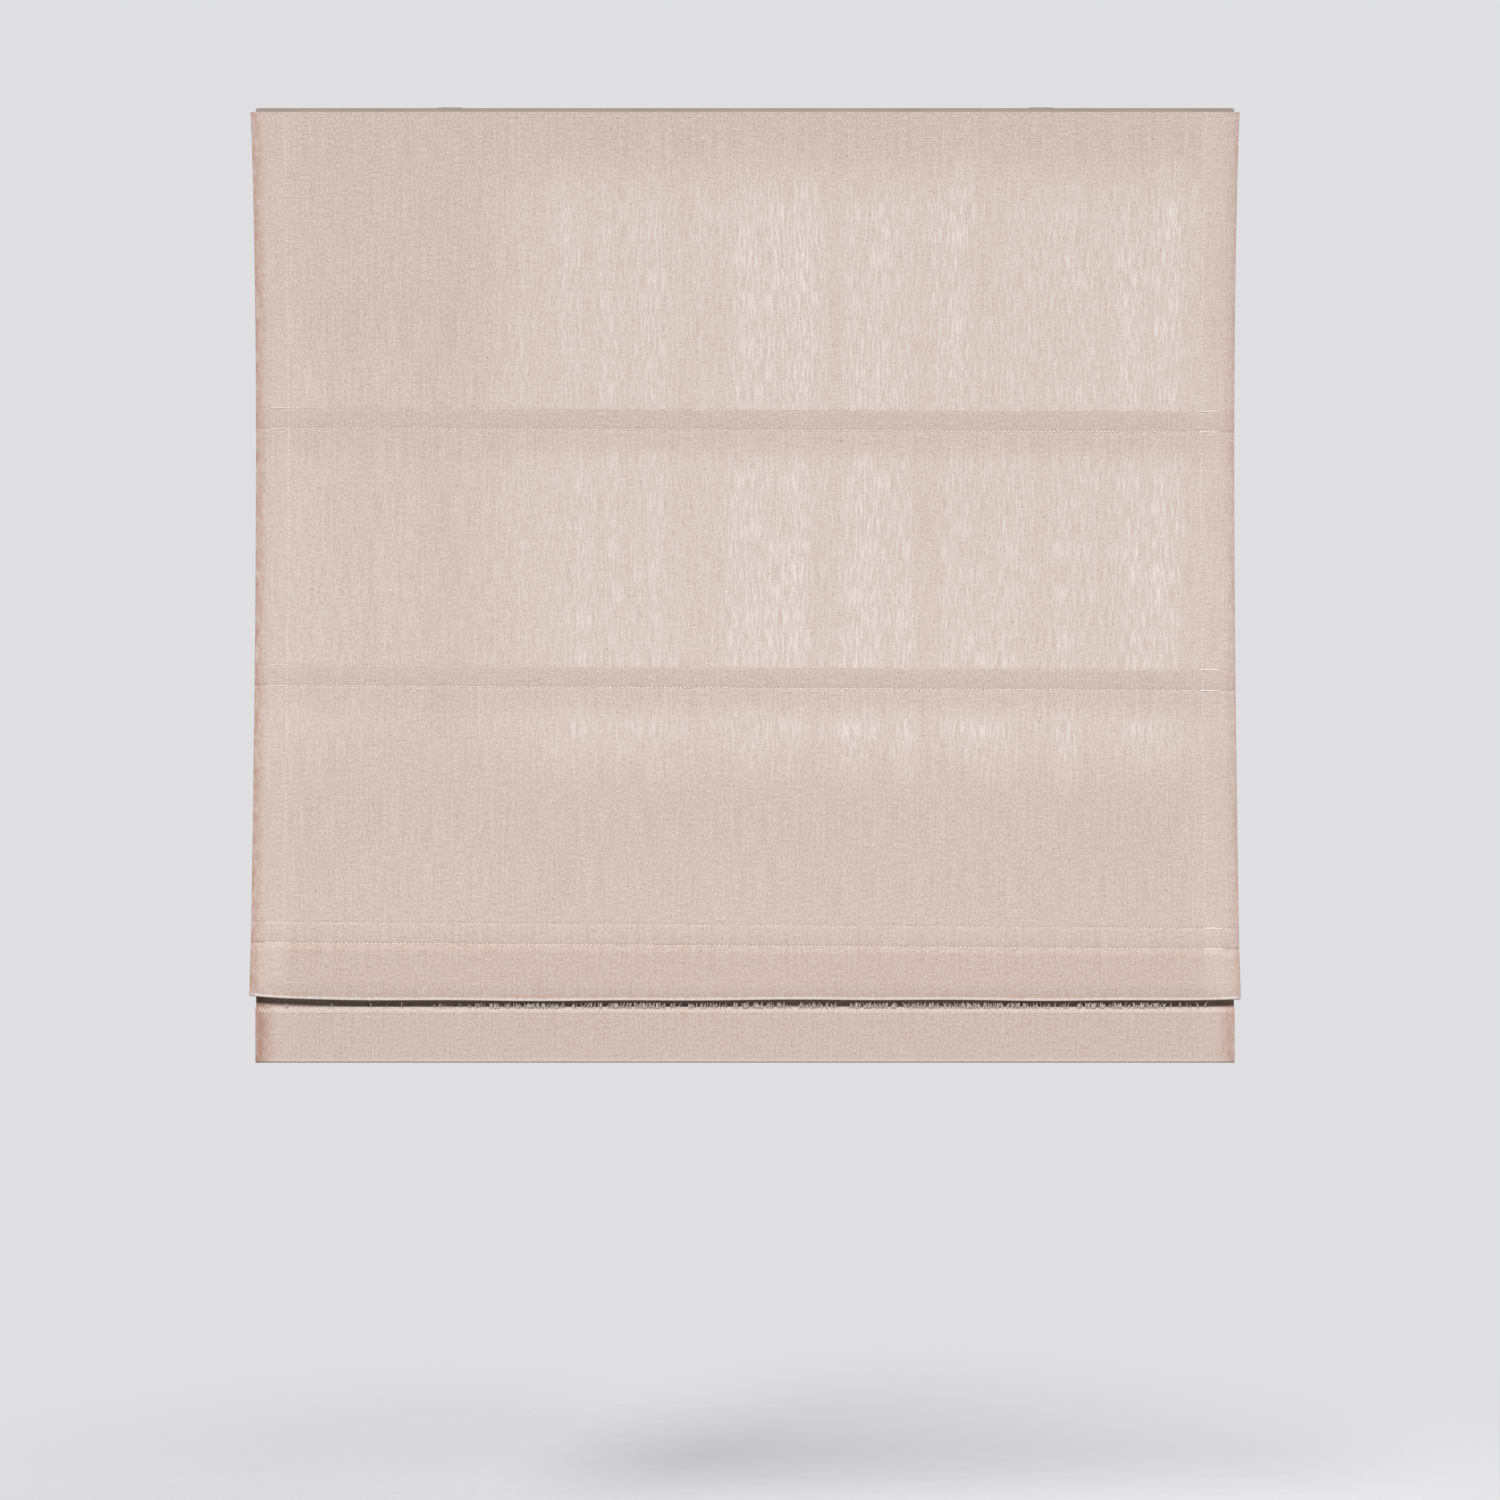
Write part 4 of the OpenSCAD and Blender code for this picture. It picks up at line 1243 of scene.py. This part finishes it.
# %% [markdown]
# ## Lift cords
# Three braided cords run down behind the cloth, through the rings of every rod to the adjusters on the
# strip. They are drawn taut, so each stretch is a straight run, and it shortens with the rows it joins. A
# bevelled curve would be as round, but a tube made ring by ring keeps a map along the cord for its braid.

# %% Cord runs
CORD_SIDES = 10
CORD_STEP = 4 * MM


def cord_run(name, columns, y, top, foot, radius):
    """Round cords between two heights, mapped once round and in metres along."""
    sides, rings = CORD_SIDES, max(3, round((top - foot) / CORD_STEP))
    points, faces, weave = [], [], []
    for x in columns:
        base = len(points)
        for z in np.linspace(top, foot, rings + 1):
            for side in range(sides):
                angle = 2 * math.pi * side / sides
                points.append((x + radius * math.cos(angle), y + radius * math.sin(angle), z))
        for ring in range(rings):
            for side in range(sides):
                a, b = base + ring * sides + side, base + ring * sides + (side + 1) % sides
                faces.append((a, a + sides, b + sides, b))
                around = [side, side, side + 1, side + 1]
                down = [ring, ring + 1, ring + 1, ring]
                weave += [(s / sides, -(top - foot) * d / rings) for s, d in zip(around, down)]
        for cap in (range(sides - 1, -1, -1), range(rings * sides, (rings + 1) * sides)):
            faces.append(tuple(base + i for i in cap)[::-1])
            weave += [(0.5, 0.0)] * sides
    mesh = bpy.data.meshes.new(name)
    mesh.from_pydata(points, [], faces)
    mesh.uv_layers.new(name="weave").data.foreach_set("uv", np.array(weave, np.float32).reshape(-1))
    mesh.materials.append(lift_cord)
    mesh.shade_smooth()
    return add_piece(name, mesh)


cord_bodies = [*BODIES, "hem"]
for k in (1, 2, 3, 4):
    low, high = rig.box(f"lift_cords_{k}")
    radius = (high.y - low.y) / 2
    columns = [low.x + radius, (low.x + high.x) / 2, high.x - radius]
    run = cord_run(f"cord_run_{k}", columns, (low.y + high.y) / 2, high.z, low.z, radius)
    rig.blend(run, cord_bodies[k - 1], cord_bodies[k], (0, 0, high.z), (0, 0, low.z))
    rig.replaces(run, f"lift_cords_{k}")
    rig.slot(run, "cord")
    print(run.name, round(high.z - low.z, 4), "m each")

# %% [markdown]
# ## Light and floor
# Three wide suns light the blind at a plain level: one from the upper left, a weaker one from the right and
# one from behind. A sun is equally strong everywhere, so the broad flat cloth gets no bright middle. The
# floor is pale and fades out with distance, so the blind hangs in a plain bright space.

# %% Lamps
SUN_WIDTH = 13


def soft_sun(name, azimuth, elevation, strength):
    """A wide sun; azimuth 0 shines from the viewer's side, positive from the right."""
    lamp = bpy.data.lights.new(name, "SUN")
    lamp.angle = math.radians(SUN_WIDTH)
    lamp.energy = strength
    holder = bpy.data.objects.new(name, lamp)
    scene.collection.objects.link(holder)
    holder.location = (math.sin(math.radians(azimuth)) * 3, -math.cos(math.radians(azimuth)) * 3, 2)
    holder.rotation_euler = (math.radians(90 - elevation), 0, math.radians(azimuth))
    return holder


suns = [
    soft_sun("key_sun", -25, 42, 2.84),
    soft_sun("fill_sun", 35, 34, 1.22),
    soft_sun("back_sun", 160, 26, 2.95),
]
print("lamps:", len(suns))

# %% World
AMBIENT = 0.06
world = bpy.data.worlds.new("studio")
scene.world = world
world.use_nodes = True
tree = world.node_tree
backdrop = tree.nodes["Background"]
backdrop.inputs["Color"].default_value = (0.74, 0.74, 0.76, 1)
ambient = tree.nodes.new("ShaderNodeBackground")
ambient.inputs["Color"].default_value = (1, 0.99, 0.97, 1)
ambient.inputs["Strength"].default_value = AMBIENT
rays = tree.nodes.new("ShaderNodeLightPath")
seen = Socket(tree, rays.outputs["Is Camera Ray"])
for ray in ("Is Glossy Ray", "Is Transmission Ray"):
    seen = seen.maths("MAXIMUM", seen, Socket(tree, rays.outputs[ray]))
choice = tree.nodes.new("ShaderNodeMixShader")
tree.links.new(seen.link, choice.inputs[0])
tree.links.new(ambient.outputs[0], choice.inputs[1])
tree.links.new(backdrop.outputs[0], choice.inputs[2])
tree.links.new(choice.outputs[0], tree.nodes["World Output"].inputs["Surface"])
print("world ready")

# %% Floor
FLOOR_Z = -1.55
FLOOR_R = 2.2
FADE = (0.2, 1.5)
bpy.ops.object.select_all(action="DESELECT")
bpy.ops.mesh.primitive_circle_add(vertices=96, radius=FLOOR_R, fill_type="NGON", location=(0, 0, FLOOR_Z))
floor = bpy.context.object
floor.name = "floor"
bpy.ops.object.transform_apply(location=True)
floor_finish, place, feed = new_finish("pale_floor", {"Roughness": 0.7})
speck = place.noise(40, 3.0)
feed(Base_Color=speck.tint(linear(176, 176, 179), linear(184, 184, 187)))
floor_flat = place.scaled(1, 1, 0)
reach = floor_flat.make("ShaderNodeVectorMath", {"operation": "LENGTH"}, {0: floor_flat}, 1)
feed(Alpha=reach.ramp(*FADE, 1.0, 0.0))
floor.data.materials.append(floor_finish)
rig.stage(floor)
print("floor at", FLOOR_Z)

# %% [markdown]
# ## Sizes
# The dressed blind has to stay the size of its frame, so both boxes are written down before the scene is
# closed.

# %% Sizes and the end
bpy.context.view_layer.update()
scene_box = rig.bounds()


def plain(box):
    return [[float(v) for v in corner] for corner in box]


with open("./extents.json", "w") as file:
    json.dump({"cad": plain(cad_box), "visual": plain(scene_box)}, file)
print("sizes", plain(cad_box), plain(scene_box))
